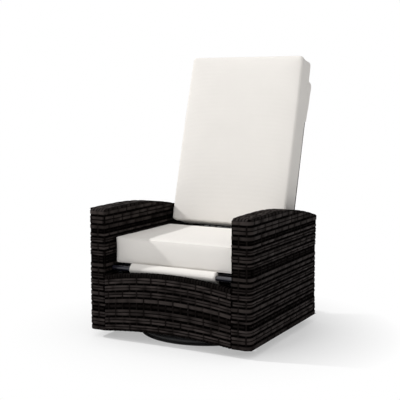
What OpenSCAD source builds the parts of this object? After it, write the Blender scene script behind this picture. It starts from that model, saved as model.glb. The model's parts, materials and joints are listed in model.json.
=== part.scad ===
// Woven swivel recliner: ring base, woven arms, front apron, push-back seat back, coupled footrest.
// X runs across the chair, the sitter faces -Y, Z is up. The origin is the swivel axis on the floor.

/* [Body] */
// Overall width over both arms
body_w = 740; // [700:5:800]
// Depth of the arms, front to rear
body_d = 712; // [700:4:760]
// Height of the underside of the arms
body_bottom_z = 30; // [30:1:36]

/* [Arms] */
// Width of one arm
arm_w = 80; // [70:1:92]
// Height of the arm at its highest point
arm_peak_z = 543; // [500:1:600]
// Distance of the highest point behind the arm's front
arm_peak_back = 206; // [150:2:260]
// Drop of the arm's top from its highest point to its front
arm_front_drop = 3; // [1:1:12]
// Drop of the arm's top from its highest point to its rear
arm_rear_drop = 80; // [40:1:110]
// Radius of the outer upright corners
arm_corner_r = 31; // [20:1:34]
// Radius of the inner upright corners
arm_inner_r = 6; // [5:1:10]
// Radius of the front top and bottom corners seen from the side
arm_side_r = 22; // [12:1:30]
// How far the rear edge is drawn in at mid height
arm_waist = 10; // [0:1:16]
// Thickness of the woven skin
weave_t = 3; // [2:0.5:3.5]
// Square bar of the frames inside the arms
arm_bar = 18; // [14:1:20]

/* [Panels] */
// Thickness of the front apron and the rear skirt
panel_t = 25; // [22:1:26]
// Height of the apron's top edge at the middle
apron_top_z = 296; // [285:1:298]
// Drop of the apron's top edge at its ends
apron_top_drop = 28; // [10:1:40]
// Height of the panels' bottom edge at their ends
panel_bottom_z = 34; // [32:1:40]
// Rise of the panels' bottom edge at the middle
panel_bottom_rise = 18; // [8:1:30]
// Height of the skirt's top edge
skirt_top_z = 288; // [240:1:292]
// Set-back of the skirt from the arms' rear ends
skirt_set_back = 14; // [12:1:20]

/* [Base] */
// Radius of the ring's centre line
ring_r = 275; // [250:1:276]
// Diameter of the ring's tube
ring_tube_d = 25; // [20:1:25]
// Height of the glide strip under the ring
foot_h = 3; // [2:0.5:3]
// Width of the base's four spokes
spoke_w = 40; // [30:1:50]
// Diameter of the base's hub
hub_d = 90; // [80:1:110]

/* [Swivel] */
// Diameter of the lower swivel plate
lower_plate_d = 190; // [180:1:200]
// Side of the square upper swivel plate
upper_plate_w = 214; // [210:1:230]
// Thickness of each swivel plate
plate_t = 4; // [4:0.5:5]
// Radius of the ball race
race_r = 78; // [60:1:84]
// Diameter of one ball
ball_d = 12; // [10:1:12]
// Number of balls
ball_n = 18; // [12:1:20]
// Diameter of the centre bolt
king_d = 16; // [12:1:20]

/* [Seat] */
// Thickness of the seat cushion at its edge
seat_t = 104; // [90:1:120]
// Extra height of the seat cushion's crown
seat_crown = 5; // [2:1:12]
// Height of the seat cushion's underside
seat_z = 309; // [306:1:320]
// Distance of the seat cushion's front behind the arms' fronts
seat_back = 75; // [75:1:95]
// How far the seat cushion runs back under the back cushion
seat_tuck = 3.4; // [0:0.2:6]
// Side of the square seat rails
rail_w = 22; // [18:1:22]
// Number of seat straps
strap_n = 7; // [5:1:8]
// Width of one seat strap
strap_w = 40; // [30:1:44]

/* [Back] */
// Lean of the back from upright
back_lean = 15.8; // [13:0.1:18]
// Height of the back cushion's lower front edge
back_z = 435; // [430:1:450]
// Distance of the back cushion's lower front edge ahead of the recline pivot
back_reach = 106.4; // [100:0.2:110]
// Length of the back cushion
back_len = 778; // [720:2:800]
// Thickness of the back cushion
back_t = 117; // [110:1:118]
// Gap between the back cushion and each arm
back_side_gap = 11; // [9:1:20]
// Extra fullness of the back cushion's front
back_crown = 4; // [2:1:8]
// Diameter of the back frame's tube
hoop_d = 25; // [22:1:26]
// Room between the back frame and each arm for the hinges and links
linkage_gap = 24; // [23:0.5:30]
// Height of the back frame's top above the cushion's lower edge, along the back
hoop_top = 707; // [640:1:710]
// Bend radius of the back frame's top corners
hoop_bend_r = 70; // [60:1:90]
// Length of the fabric pocket over the back frame's top
pocket_len = 200; // [150:2:240]
// Thickness of the pocket's fabric
pocket_t = 3; // [2:0.5:4]

/* [Footrest] */
// Diameter of the footrest's front tube
nose_d = 20; // [18:1:20]
// Distance of the front tube's centre behind the arms' fronts
nose_back = 58.5; // [58:0.5:60]
// Height of the front tube's centre
nose_z = 293.5; // [292:0.5:295]
// Distance of the stored footrest's hinge ahead of the front cross tube
hinge_ahead = 55.2; // [50:0.2:60]
// Height of the stored footrest's hinge
hinge_z = 49.3; // [48:0.1:52]
// Offset of the footrest's hinge below the frame's plane
hinge_drop = 3; // [2:0.5:4]
// Gap between the footrest pad and each side arm of the footrest
pad_inset = 53.3; // [40:0.1:70]
// Length of the footrest pad behind the front tube
pad_len = 196; // [180:1:198]
// Thickness of the pad over the front tube
pad_t = 7.5; // [6:0.5:8]
// Distance of the link pivot behind the arms' fronts
link_back = 41; // [40:0.5:43]
// Height of the link pivot
link_z = 96; // [94:1:98]
// Diameter of the cross shaft
shaft_d = 16; // [14:1:16]

/* [Hinges] */
// Distance of the recline pivot ahead of the arms' rear ends
recline_back = 81; // [76:1:84]
// Height of the recline pivot
recline_z = 330; // [324:1:336]
// Diameter of the recline pins
pin_d = 12; // [10:1:14]
// Length of the lever from the recline pivot to the drive rod
lever_len = 38; // [36:1:40]
// Tilt of that lever behind straight down
lever_angle = 20; // [16:0.5:24]
// Length of the crank on the footrest links
crank_len = 24; // [22:1:25]
// Rise of that crank above level
crank_angle = 4; // [2:0.5:6]
// Diameter of the rod pins
rod_pin_d = 8; // [6:1:9]

/* [Hidden] */
$fn = 64;

// Overrun of cuts
over = 1;
// Radial clearance of running fits
run_fit = 0.05;
// Gap between fixed neighbours
seat_gap = 0.3;
// Gap that keeps soft pieces free
soft_gap = 1.5;
// Wall of the steel tubes
tube_wall = 1.5;
// Steel plate of ears, links and rods
plate_steel = 6;

// Faces of the body
front_y = -body_d / 2;
rear_y = body_d / 2;
side_x = body_w / 2;
inner_x = side_x - arm_w;
arm_peak_y = front_y + arm_peak_back;
arm_steps = 12;
arc_steps = 6;

// Panels between the arms
panel_half = inner_x - seat_gap;
panel_steps = 16;
frame_bar = 18;

// Base and swivel heights
ring_z = foot_h + ring_tube_d / 2;
spoke_h = 20;
spoke_top_z = ring_z + spoke_h / 2;
groove = 2;
ball_z = spoke_top_z + plate_t + ball_d / 2 - groove;
upper_plate_z = ball_z + ball_d / 2 - groove;
cross_z = upper_plate_z + plate_t;
cross_w = 40;
cross_h = 25;
cross_y = 75;
cross_wall = 2;
flange_t = 3;
glide_w = 22;
plate_bolt_x = 85;
bolt_d = 8;
bolt_head_d = 13;
bolt_head_t = 5;
king_head_d = 26;
king_head_t = 9;
king_recess = 3;
king_nut_t = 10;

// The recline pivot and the back cushion's lower front edge
recline_y = rear_y - recline_back;
back_y = recline_y - back_reach;
back_cushion_w = 2 * (inner_x - back_side_gap);

// Seat deck
rail_x = inner_x - seat_gap - rail_w;
strap_t = 3;
rail_top_z = seat_z - seat_gap - strap_t;
rail_z = rail_top_z - rail_w;
seat_front_y = front_y + seat_back;
seat_rear_y = back_y + seat_tuck;
seat_d = seat_rear_y - seat_front_y;
rail_front_y = seat_front_y + 0.1 * seat_d;
rail_rear_y = seat_rear_y - 0.005 * seat_d;
seat_half = inner_x - soft_gap;

// Back frame in the back's own frame: Y is across its thickness, Z runs up along it
hoop_n = back_t + seat_gap + weave_t + hoop_d / 2;
hoop_w = 2 * (inner_x - linkage_gap);
hoop_x = (hoop_w - hoop_d) / 2;
hoop_top_s = hoop_top - hoop_d / 2;
pivot_dy = recline_y - back_y;
pivot_dz = recline_z - back_z;
pivot_s = pivot_dy * sin(back_lean) + pivot_dz * cos(back_lean);
pivot_n = pivot_dy * cos(back_lean) - pivot_dz * sin(back_lean);
hoop_low_s = pivot_s + 1.52 * hoop_d;
cross_tube_d = hoop_d - 2 * tube_wall;
cross_share = [0.02, 0.34, 0.66];
pocket_gap = 0.5;

// Layers across the width, from the frame outwards
ear_x = hoop_w / 2;
ear_out_x = ear_x + plate_steel;
washer_t = 2;
boss_x = ear_out_x + washer_t + seat_gap;
bracket_t = 3.5;
flange_x = inner_x - seat_gap - bracket_t;
boss_d = 28;
rod_t = 5;
rod_x = ear_out_x + 0.1 * rod_t;
link_out_x = rod_x - 0.4 * rod_t;
link_x = link_out_x - plate_steel;
link_washer_t = 1.6;
arm_bar_x = link_x - link_washer_t - 2 * seat_gap - plate_steel;
pad_w = 2 * (arm_bar_x - pad_inset);
shaft_boss_x = rod_x + rod_t + 0.4 * rod_t;

// Recline lever and drive rod
lever_y = recline_y + lever_len * sin(lever_angle);
lever_z = recline_z - lever_len * cos(lever_angle);
link_y = front_y + link_back;
crank_y = link_y + crank_len * cos(crank_angle);
crank_z = link_z + crank_len * sin(crank_angle);
eye_wall = 4.5;
// The rod's rear eye is the pivot at which the closed linkage is opened: its play takes up the misfit
open_eye_play = 5.5;
open_eye_y = lever_y - 0.068 * lever_len;
open_eye_z = lever_z - 0.11 * lever_len;

// Stored footrest
nose_y = front_y + nose_back;
hinge_y = -cross_y - hinge_ahead;
hinge_reach = sqrt(pow(hinge_y - nose_y, 2) + pow(nose_z - hinge_z, 2));
stow_angle = atan2(nose_z - hinge_z, hinge_y - nose_y) - asin(hinge_drop / hinge_reach);
hinge_pin_d = rod_pin_d;
bar_r = 8;
link_r = 11;
pad_low = 10;
pad_high = 12;
bar_d = 16;
bar_share = [0.48, 0.94];

// Joints, for the record: the pivots' places and the travels that close the linkage
echo(recline = [recline_y, recline_z], link = [link_y, link_z], crank = [crank_y, crank_z], hinge = [hinge_y, hinge_z]);

// Points of an arc in the plane, from one angle to another
function arc_points(cy, cz, r, a0, a1, steps) =
  [for (i = [0:steps]) [cy + r * cos(a0 + (a1 - a0) * i / steps), cz + r * sin(a0 + (a1 - a0) * i / steps)]];

// Height of the arm's top: two parabolas that meet level at the highest point
function arm_top(y) =
  y < arm_peak_y
    ? arm_peak_z - arm_front_drop * pow((y - arm_peak_y) / (front_y - arm_peak_y), 2)
    : arm_peak_z - arm_rear_drop * pow((y - arm_peak_y) / (rear_y - arm_peak_y), 2);

// Place of the arm's drawn-in rear edge
function arm_rear(z) =
  let (mid = (body_bottom_z + arm_top(rear_y)) / 2, half = arm_top(rear_y) - mid)
    rear_y - arm_waist * (1 - pow((z - mid) / half, 2));

// The arm's side outline, drawn in by w
function arm_outline(w) =
  let (
    low = body_bottom_z + w,
    r = max(arm_side_r - w, weave_t),
    cy = front_y + w + r,
    top_r = arm_top(rear_y) - w,
    y1 = arm_rear(top_r) - w
  )
  concat(
    arc_points(cy, low + r, r, 180, 270, arc_steps),
    [for (i = [0:arm_steps]) let (z = low + (top_r - low) * i / arm_steps) [arm_rear(z) - w, z]],
    [for (i = [1:arm_steps]) let (y = y1 + (cy - y1) * i / arm_steps) [y, arm_top(y) - w]],
    arc_points(cy, arm_top(cy) - w - r, r, 90, 180, arc_steps)
  );

// A rounded block's plan for one arm, drawn in by w
module arm_plan(w) {
  ro = arm_corner_r - w;
  ri = arm_inner_r - w;
  x0 = inner_x + w;
  x1 = side_x - w;
  y0 = front_y + w;
  y1 = rear_y - w;
  for (s = [-1, 1]) {
    translate([side_x - arm_corner_r, s * (rear_y - arm_corner_r)]) circle(r = ro);
    translate([inner_x + arm_inner_r, s * (rear_y - arm_inner_r)]) circle(r = ri);
  }
  translate([x0, front_y + arm_corner_r]) square([x1 - x0, body_d - 2 * arm_corner_r]);
  translate([inner_x + arm_inner_r, y0]) square([side_x - arm_corner_r - inner_x - arm_inner_r, y1 - y0]);
  translate([x0, front_y + arm_inner_r]) square([arm_corner_r, body_d - 2 * arm_inner_r]);
}

module arm_block(w) {
  intersection() {
    translate([inner_x, 0, 0])
      rotate([90, 0, 90])
        linear_extrude(arm_w) polygon(arm_outline(w));
    linear_extrude(arm_peak_z + over) arm_plan(w);
  }
}

module arm_weave() {
  color("#241a14")
    difference() {
      arm_block(0);
      arm_block(weave_t);
    }
}

// Two square-bar loops joined by short spacers, inside the woven skin
module arm_frame() {
  w = weave_t + seat_gap;
  bar = arm_bar;
  color("#2b2b2e") {
    for (x = [inner_x + w, side_x - w - bar])
      intersection() {
        plate_at(x, bar)
          difference() {
            polygon(arm_outline(w));
            polygon(arm_outline(w + bar));
          }
        linear_extrude(arm_peak_z + over) arm_plan(w);
      }
    for (y = [front_y / 2, 0, rear_y / 2])
      translate([inner_x + w + bar, y, body_bottom_z + w]) cube([arm_w - 2 * (w + bar), bar, bar]);
  }
}

// A panel's outline, drawn in by w: arched top and bottom edges
function panel_outline(top, drop, w) =
  let (half = panel_half - w)
  concat(
    [for (i = [0:panel_steps]) let (x = -half + 2 * half * i / panel_steps)
      [x, panel_bottom_z + panel_bottom_rise * (1 - pow(x / panel_half, 2)) + w]],
    [for (i = [0:panel_steps]) let (x = half - 2 * half * i / panel_steps)
      [x, top - drop * pow(x / panel_half, 2) - w]]
  );

module panel_weave(y, top, drop) {
  translate([0, y + panel_t, 0])
    rotate([90, 0, 0])
      difference() {
        linear_extrude(panel_t) polygon(panel_outline(top, drop, 0));
        translate([0, 0, weave_t])
          linear_extrude(panel_t - 2 * weave_t) polygon(panel_outline(top, drop, weave_t));
      }
}

module panel_frame(y, top, drop) {
  w = weave_t + seat_gap;
  translate([0, y + panel_t - w, 0])
    rotate([90, 0, 0])
      linear_extrude(panel_t - 2 * w)
        difference() {
          polygon(panel_outline(top, drop, w));
          polygon(panel_outline(top, drop, w + frame_bar));
        }
}

module apron_weave() {
  color("#241a14") panel_weave(front_y, apron_top_z, apron_top_drop);
}

module apron_frame() {
  color("#2b2b2e") panel_frame(front_y, apron_top_z, apron_top_drop);
}

module skirt_weave() {
  color("#241a14") panel_weave(rear_y - skirt_set_back - panel_t, skirt_top_z, 0);
}

module skirt_frame() {
  color("#2b2b2e") panel_frame(rear_y - skirt_set_back - panel_t, skirt_top_z, 0);
}

module ring_solid(d) {
  translate([0, 0, ring_z])
    rotate_extrude() translate([ring_r, 0]) circle(d = d);
}

module base_ring() {
  color("#1b1b1d")
    difference() {
      ring_solid(ring_tube_d);
      ring_solid(ring_tube_d - 2 * tube_wall);
    }
}

// One spoke along +X, coped to the ring and the hub
module spoke() {
  color("#1b1b1d")
    difference() {
      translate([0, -spoke_w / 2, ring_z - spoke_h / 2]) cube([ring_r, spoke_w, spoke_h]);
      translate([-over, -spoke_w / 2 + cross_wall, ring_z - spoke_h / 2 + cross_wall])
        cube([ring_r + 2 * over, spoke_w - 2 * cross_wall, spoke_h - 2 * cross_wall]);
      translate([0, 0, ring_z - spoke_h]) cylinder(d = hub_d, h = 2 * spoke_h);
      ring_solid(ring_tube_d);
      translate([0, 0, ring_z - spoke_h])
        difference() {
          cylinder(r = ring_r + ring_tube_d, h = 2 * spoke_h);
          cylinder(r = ring_r - ring_tube_d / 4, h = 2 * spoke_h);
        }
    }
}

module base_hub() {
  color("#1b1b1d")
    translate([0, 0, ring_z - spoke_h / 2])
      difference() {
        cylinder(d = hub_d, h = spoke_h);
        translate([0, 0, -over]) cylinder(d = king_d, h = spoke_h + 2 * over);
        translate([0, 0, -over]) cylinder(d = king_head_d + over, h = king_head_t + king_recess + over);
      }
}

// The plastic strip under the ring, a flat band with the ring bedded in it
module base_glide() {
  color("#101010")
    difference() {
      rotate_extrude() translate([ring_r - glide_w / 2, 0]) square([glide_w, ring_z - spoke_h / 2 - seat_gap]);
      ring_solid(ring_tube_d);
    }
}

module race_cut(z) {
  translate([0, 0, z]) rotate_extrude() translate([race_r, 0]) circle(d = ball_d + 4 * run_fit);
}

module lower_swivel_plate() {
  color("#3a3b3d")
    difference() {
      translate([0, 0, spoke_top_z]) cylinder(d = lower_plate_d, h = plate_t);
      translate([0, 0, spoke_top_z - over]) cylinder(d = king_d, h = plate_t + 2 * over);
      race_cut(ball_z);
    }
}

module upper_swivel_plate() {
  color("#3a3b3d")
    difference() {
      translate([-upper_plate_w / 2, -upper_plate_w / 2, upper_plate_z])
        cube([upper_plate_w, upper_plate_w, plate_t]);
      translate([0, 0, upper_plate_z - over]) cylinder(d = king_d + 2 * run_fit, h = plate_t + 2 * over);
      plate_bolt_places() cylinder(d = bolt_d, h = cross_z + cross_h);
      race_cut(ball_z);
    }
}

module ball_cage() {
  cage_t = ball_d / 4;
  color("#8a7a4a")
    difference() {
      translate([0, 0, ball_z - cage_t / 2])
        difference() {
          cylinder(r = race_r + ball_d * 0.7, h = cage_t);
          translate([0, 0, -over]) cylinder(r = race_r - ball_d * 0.7, h = cage_t + 2 * over);
        }
      ball_places() cylinder(d = ball_d + 4 * run_fit, h = ball_d, center = true);
    }
}

module ball_places() {
  for (i = [0:ball_n - 1])
    rotate([0, 0, 360 / ball_n * i]) translate([race_r, 0, ball_z]) children();
}

module swivel_balls() {
  color("#c8c8cc") ball_places() sphere(d = ball_d);
}

module king_bolt() {
  low = ring_z - spoke_h / 2 + king_recess;
  color("#9a9ca0")
    translate([0, 0, low]) {
      cylinder(d = king_head_d, h = king_head_t, $fn = 6);
      cylinder(d = king_d, h = cross_z + king_nut_t + groove - low);
    }
}

module king_nut() {
  color("#9a9ca0")
    translate([0, 0, cross_z + 2 * run_fit])
      difference() {
        cylinder(d = king_head_d, h = king_nut_t, $fn = 6);
        translate([0, 0, -over]) cylinder(d = king_d, h = king_nut_t + 2 * over);
      }
}

module plate_bolt_places() {
  for (x = [-plate_bolt_x, plate_bolt_x], y = [-cross_y, cross_y]) translate([x, y, 0]) children();
}

// Bolts up through the upper swivel plate and the cross tubes, with their nuts
module swivel_bolts() {
  color("#9a9ca0")
    plate_bolt_places() {
      translate([0, 0, upper_plate_z - bolt_head_t]) cylinder(d = bolt_head_d, h = bolt_head_t, $fn = 6);
      translate([0, 0, upper_plate_z - bolt_head_t]) cylinder(d = bolt_d, h = bolt_head_t + plate_t + cross_h + bolt_d);
      translate([0, 0, cross_z + cross_h]) cylinder(d = bolt_head_d, h = bolt_d * 0.8, $fn = 6);
    }
}

// A box tube from arm to arm, with a bolting flange at each end
module cross_tube(y) {
  half = inner_x - seat_gap;
  flange_h = 3 * cross_w / 2;
  color("#1b1b1d")
    difference() {
      union() {
        translate([-half, y - cross_w / 2, cross_z]) cube([2 * half, cross_w, cross_h]);
        for (s = [-1, 1])
          translate([s * (half - flange_t / 2) - flange_t / 2, y - cross_w, cross_z])
            cube([flange_t, 2 * cross_w, flange_h]);
      }
      translate([-half + flange_t, y - cross_w / 2 + cross_wall, cross_z + cross_wall])
        cube([2 * (half - flange_t), cross_w - 2 * cross_wall, cross_h - 2 * cross_wall]);
      plate_bolt_places() cylinder(d = bolt_d, h = cross_z + 2 * cross_h);
    }
}

module seat_rail() {
  color("#1b1b1d")
    translate([rail_x, rail_front_y, rail_z])
      difference() {
        cube([rail_w, rail_rear_y - rail_front_y, rail_w]);
        translate([tube_wall, -over, tube_wall])
          cube([rail_w - 2 * tube_wall, rail_rear_y - rail_front_y + 2 * over, rail_w - 2 * tube_wall]);
      }
}

module tube_across(y, z, d, half) {
  translate([-half, y, z])
    rotate([0, 90, 0])
      difference() {
        cylinder(d = d, h = 2 * half);
        translate([0, 0, -over]) cylinder(d = d - 2 * tube_wall, h = 2 * (half + over));
      }
}

module seat_front_tube() {
  color("#1b1b1d") tube_across(rail_front_y + rail_w / 2, rail_z + rail_w / 2, rail_w, rail_x);
}

module seat_rear_tube() {
  color("#1b1b1d") tube_across(rail_rear_y - rail_w / 2, rail_z + rail_w / 2, rail_w, rail_x);
}

// Elastic webbing stretched from rail to rail
module seat_straps() {
  run = rail_rear_y - rail_front_y - strap_w;
  color("#151515")
    for (i = [0:strap_n - 1])
      translate([-rail_x - rail_w + tube_wall, rail_front_y + run * i / (strap_n - 1), rail_top_z])
        cube([2 * (rail_x + rail_w - tube_wall), strap_w, strap_t]);
}

// Shares that set a cushion's section: how full the edge is, and how square its plan
cushion_ring_share = [0.4, 0.68, 0.86, 0.95, 0.985];
cushion_edge_power = 7;
cushion_side_n = 10;

// One point on a squared ring with rounded corners, u and v within one
function squared(u, v, p) =
  let (k = pow(pow(abs(u), p) + pow(abs(v), p), 1 / p)) [u / k, v / k];

// The ring's corners are packed closer than its sides
function ring_param(i) = let (t = 2 * i / cushion_side_n - 1) sin(90 * t);
function square_ring() = concat(
  [for (i = [0:cushion_side_n - 1]) [ring_param(i), -1]],
  [for (i = [0:cushion_side_n - 1]) [1, ring_param(i)]],
  [for (i = [0:cushion_side_n - 1]) [-ring_param(i), 1]],
  [for (i = [0:cushion_side_n - 1]) [-1, -ring_param(i)]]
);

// Half thickness of the cushion at a share of its half width, with the crown added
function swell(s, half_t, crown) =
  half_t * pow(1 - pow(s, cushion_edge_power), 0.42) + crown * (1 - s * s);

// A stuffed cushion, centred: crowned faces, full edges and sides drawn in between the corners
module stuffed(w, d, t, crown, low_crown, draw) {
  half = t / 2;
  ring = [for (q = square_ring()) squared(q[0], q[1], 9)];
  n = len(ring);
  wide = max([for (p = ring) p[0] * (w / 2 - draw * (1 - p[1] * p[1]))]) / (w / 2);
  deep = max([for (p = ring) p[1] * (d / 2 - draw * (1 - p[0] * p[0]))]) / (d / 2);
  top = [for (s = cushion_ring_share) [s, swell(s, half, crown)]];
  low = [for (i = [len(cushion_ring_share) - 1:-1:0]) let (s = cushion_ring_share[i]) [s, -swell(s, half, low_crown)]];
  level = concat(
    [for (l = top) l],
    [[1, half * 0.3], [1, -half * 0.3]],
    [for (l = low) l]
  );
  m = len(level);
  pts = concat(
    [for (l = level, p = ring)
      let (pull = draw * l[0])
      [
        p[0] * (w / 2 * l[0] - pull * (1 - p[1] * p[1])) / wide,
        p[1] * (d / 2 * l[0] - pull * (1 - p[0] * p[0])) / deep,
        l[1]
      ]],
    [[0, 0, half + crown], [0, 0, -half - low_crown]]
  );
  faces = concat(
    [for (k = [0:m - 2], i = [0:n - 1])
      [k * n + i, (k + 1) * n + i, (k + 1) * n + (i + 1) % n]],
    [for (k = [0:m - 2], i = [0:n - 1])
      [k * n + i, (k + 1) * n + (i + 1) % n, k * n + (i + 1) % n]],
    [for (i = [0:n - 1]) [m * n, i, (i + 1) % n]],
    [for (i = [0:n - 1]) [m * n + 1, (m - 1) * n + (i + 1) % n, (m - 1) * n + i]]
  );
  polyhedron(points = pts, faces = faces, convexity = 4);
}

seat_draw = 6;
module seat_cushion() {
  color("#e6e0d4")
    translate([0, (seat_front_y + seat_rear_y) / 2, seat_z + seat_t / 2])
      stuffed(2 * seat_half, seat_d, seat_t, seat_crown, 0, seat_draw);
}

// Carries what is drawn in the back's own frame to its place
module in_back() {
  translate([0, back_y, back_z]) rotate([-back_lean, 0, 0]) children();
}

back_draw = 6;
module back_cushion() {
  color("#e6e0d4")
    in_back()
      translate([0, (back_t + back_crown) / 2, back_len / 2])
        rotate([90, 0, 0])
          stuffed(back_cushion_w, back_len, back_t - back_crown, back_crown, 0, back_draw);
}

// A ring-shaped section of the hoop's tube
module hoop_section() {
  difference() {
    circle(d = hoop_d);
    circle(d = hoop_d - 2 * tube_wall);
  }
}

// The bent hoop: two legs, two corners and the top
module back_hoop() {
  leg = hoop_top_s - hoop_bend_r - hoop_low_s;
  color("#1b1b1d") in_back() {
    for (s = [-1, 1]) {
      translate([s * hoop_x, hoop_n, hoop_low_s]) linear_extrude(leg) hoop_section();
      translate([s * (hoop_x - hoop_bend_r), hoop_n, hoop_top_s - hoop_bend_r])
        rotate([90, 0, 0])
          rotate([0, 0, s > 0 ? 0 : 90])
            rotate_extrude(angle = 90) translate([hoop_bend_r, 0]) hoop_section();
    }
    translate([-hoop_x + hoop_bend_r, hoop_n, hoop_top_s])
      rotate([0, 90, 0]) linear_extrude(2 * (hoop_x - hoop_bend_r)) hoop_section();
  }
}

module back_cross_tubes() {
  front_n = hoop_n - hoop_d / 2;
  color("#1b1b1d") in_back()
    difference() {
      for (k = cross_share)
        translate([-hoop_x, front_n + cross_tube_d / 2, hoop_low_s + cross_tube_d / 2 + (hoop_top_s - hoop_low_s) * k])
          rotate([0, 90, 0])
            difference() {
              cylinder(d = cross_tube_d, h = 2 * hoop_x);
              translate([0, 0, -over]) cylinder(d = cross_tube_d - 2 * tube_wall, h = 2 * (hoop_x + over));
            }
      for (s = [-1, 1])
        translate([s * hoop_x, hoop_n, hoop_low_s - over]) cylinder(d = hoop_d, h = hoop_top);
    }
}

// The woven panel stretched over the front of the back frame
module back_weave() {
  color("#241a14") in_back()
    translate([-hoop_x, back_t + seat_gap, hoop_low_s + cross_tube_d / 2])
      cube([2 * hoop_x, weave_t, hoop_top_s - hoop_bend_r - hoop_low_s - cross_tube_d / 2]);
}

// The fabric pocket that hangs over the frame's top corners, open below
module cushion_pocket() {
  half = hoop_w / 2 + pocket_gap;
  depth = hoop_n + hoop_d / 2 + pocket_gap - back_t;
  top = hoop_top + pocket_gap;
  bend = hoop_bend_r + hoop_d / 2 + pocket_gap;
  color("#ddd6c8") in_back()
    translate([0, back_t + depth + pocket_t, 0])
      rotate([90, 0, 0])
        difference() {
          linear_extrude(depth + pocket_t - seat_gap) arch_plate(half + pocket_t, top - pocket_len, top + pocket_t, bend + pocket_t);
          translate([0, 0, pocket_t])
            linear_extrude(depth + pocket_t) arch_plate(half, top - pocket_len - over, top, bend);
        }
}

// A plate with two rounded top corners
module arch_plate(half, low, top, r) {
  translate([-half, low]) square([2 * half, top - low - r]);
  translate([-half + r, low]) square([2 * (half - r), top - low]);
  for (s = [-1, 1]) translate([s * (half - r), top - r]) circle(r = r);
}

// A flat bar with round ends, in the plane across X
module flat_bar(y0, z0, y1, z1, r) {
  len = sqrt(pow(y1 - y0, 2) + pow(z1 - z0, 2));
  translate([y0, z0]) circle(r = r);
  translate([y1, z1]) circle(r = r);
  translate([y0, z0]) rotate([0, 0, atan2(z1 - z0, y1 - y0)]) translate([0, -r]) square([len, 2 * r]);
}

// Draws a plate in the Y-Z plane from x onwards
module plate_at(x, t) {
  translate([x, 0, 0]) rotate([90, 0, 90]) linear_extrude(t) children();
}

// A round piece across X at a place in the Y-Z plane
module disc_at(x, t, y, z, d) {
  translate([x, y, z]) rotate([0, 90, 0]) cylinder(d = d, h = t);
}

module back_ear() {
  head = 2 * hoop_d;
  top_y = recline_y + (head + hoop_d) * sin(back_lean);
  top_z = recline_z + (head + hoop_d) * cos(back_lean);
  offset_n = hoop_n - pivot_n;
  color("#3a3b3d")
    difference() {
      plate_at(ear_x, plate_steel) {
        flat_bar(recline_y, recline_z, lever_y, lever_z, boss_d / 2 - eye_wall);
        flat_bar(recline_y, recline_z, top_y + offset_n * cos(back_lean), top_z - offset_n * sin(back_lean), hoop_d / 2);
        translate([recline_y, recline_z]) circle(d = boss_d);
      }
      disc_at(ear_x - over, plate_steel + 2 * over, recline_y, recline_z, pin_d);
      disc_at(ear_x - over, plate_steel + 2 * over, lever_y, lever_z, rod_pin_d);
    }
}

module recline_pin() {
  head_t = pin_d / 2;
  disc_at(ear_x - head_t, head_t, recline_y, recline_z, 1.6 * pin_d);
  disc_at(ear_x, flange_x + bracket_t - ear_x, recline_y, recline_z, pin_d);
}

module recline_pins() {
  color("#9a9ca0") both_sides() recline_pin();
}

module friction_washers() {
  color("#6d5b33")
    both_sides()
      difference() {
        disc_at(ear_out_x, washer_t, recline_y, recline_z, boss_d);
        disc_at(ear_out_x - over, washer_t + 2 * over, recline_y, recline_z, pin_d);
      }
}

module lever_pins() {
  color("#9a9ca0")
    both_sides() {
      disc_at(ear_x, rod_x + rod_t + seat_gap - ear_x, lever_y, lever_z, rod_pin_d);
      disc_at(rod_x + rod_t + seat_gap, bracket_t / 2, lever_y, lever_z, rod_pin_d + 2 * open_eye_play + eye_wall);
    }
}

module both_sides() {
  children();
  mirror([1, 0, 0]) children();
}

screw_d = 6;
screw_head_d = 11;
bracket_w = 76;
bracket_h = 56;
screw_inset = 9;

module flange_plate(y, z) {
  translate([flange_x, y - bracket_w / 2, z - bracket_h / 2])
    difference() {
      cube([bracket_t, bracket_w, bracket_h]);
      translate([0, bracket_w / 2, bracket_h / 2]) screw_places() disc_at(-over, bracket_t + 2 * over, 0, 0, screw_d);
    }
}

module screw_places() {
  for (sy = [-1, 1], sz = [-1, 1])
    translate([0, sy * (bracket_w / 2 - screw_inset), sz * (bracket_h / 2 - screw_inset)]) children();
}

module recline_bracket() {
  color("#3a3b3d")
    difference() {
      union() {
        flange_plate(recline_y, recline_z);
        disc_at(boss_x, flange_x + bracket_t - boss_x, recline_y, recline_z, boss_d);
      }
      disc_at(boss_x - over, flange_x + bracket_t - boss_x + 2 * over, recline_y, recline_z, pin_d + 2 * run_fit);
    }
}

footrest_flange_y = link_y + bracket_w / 2 - boss_d / 2;
module footrest_bracket() {
  boss = shaft_d + 2 * eye_wall;
  color("#3a3b3d")
    difference() {
      union() {
        flange_plate(footrest_flange_y, link_z);
        disc_at(shaft_boss_x, flange_x + bracket_t - shaft_boss_x, link_y, link_z, boss);
      }
      disc_at(shaft_boss_x - over, flange_x + bracket_t - shaft_boss_x + 2 * over, link_y, link_z, shaft_d + 2 * run_fit);
    }
}

// Countersunk screws of all four brackets
module bracket_screws() {
  head_t = bracket_t * 0.5;
  color("#9a9ca0")
    both_sides()
      for (p = [[recline_y, recline_z], [footrest_flange_y, link_z]])
        translate([0, p[0], p[1]])
          screw_places() {
            disc_at(flange_x - head_t, head_t, 0, 0, screw_head_d);
            disc_at(flange_x, bracket_t, 0, 0, screw_d);
          }
}

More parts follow.
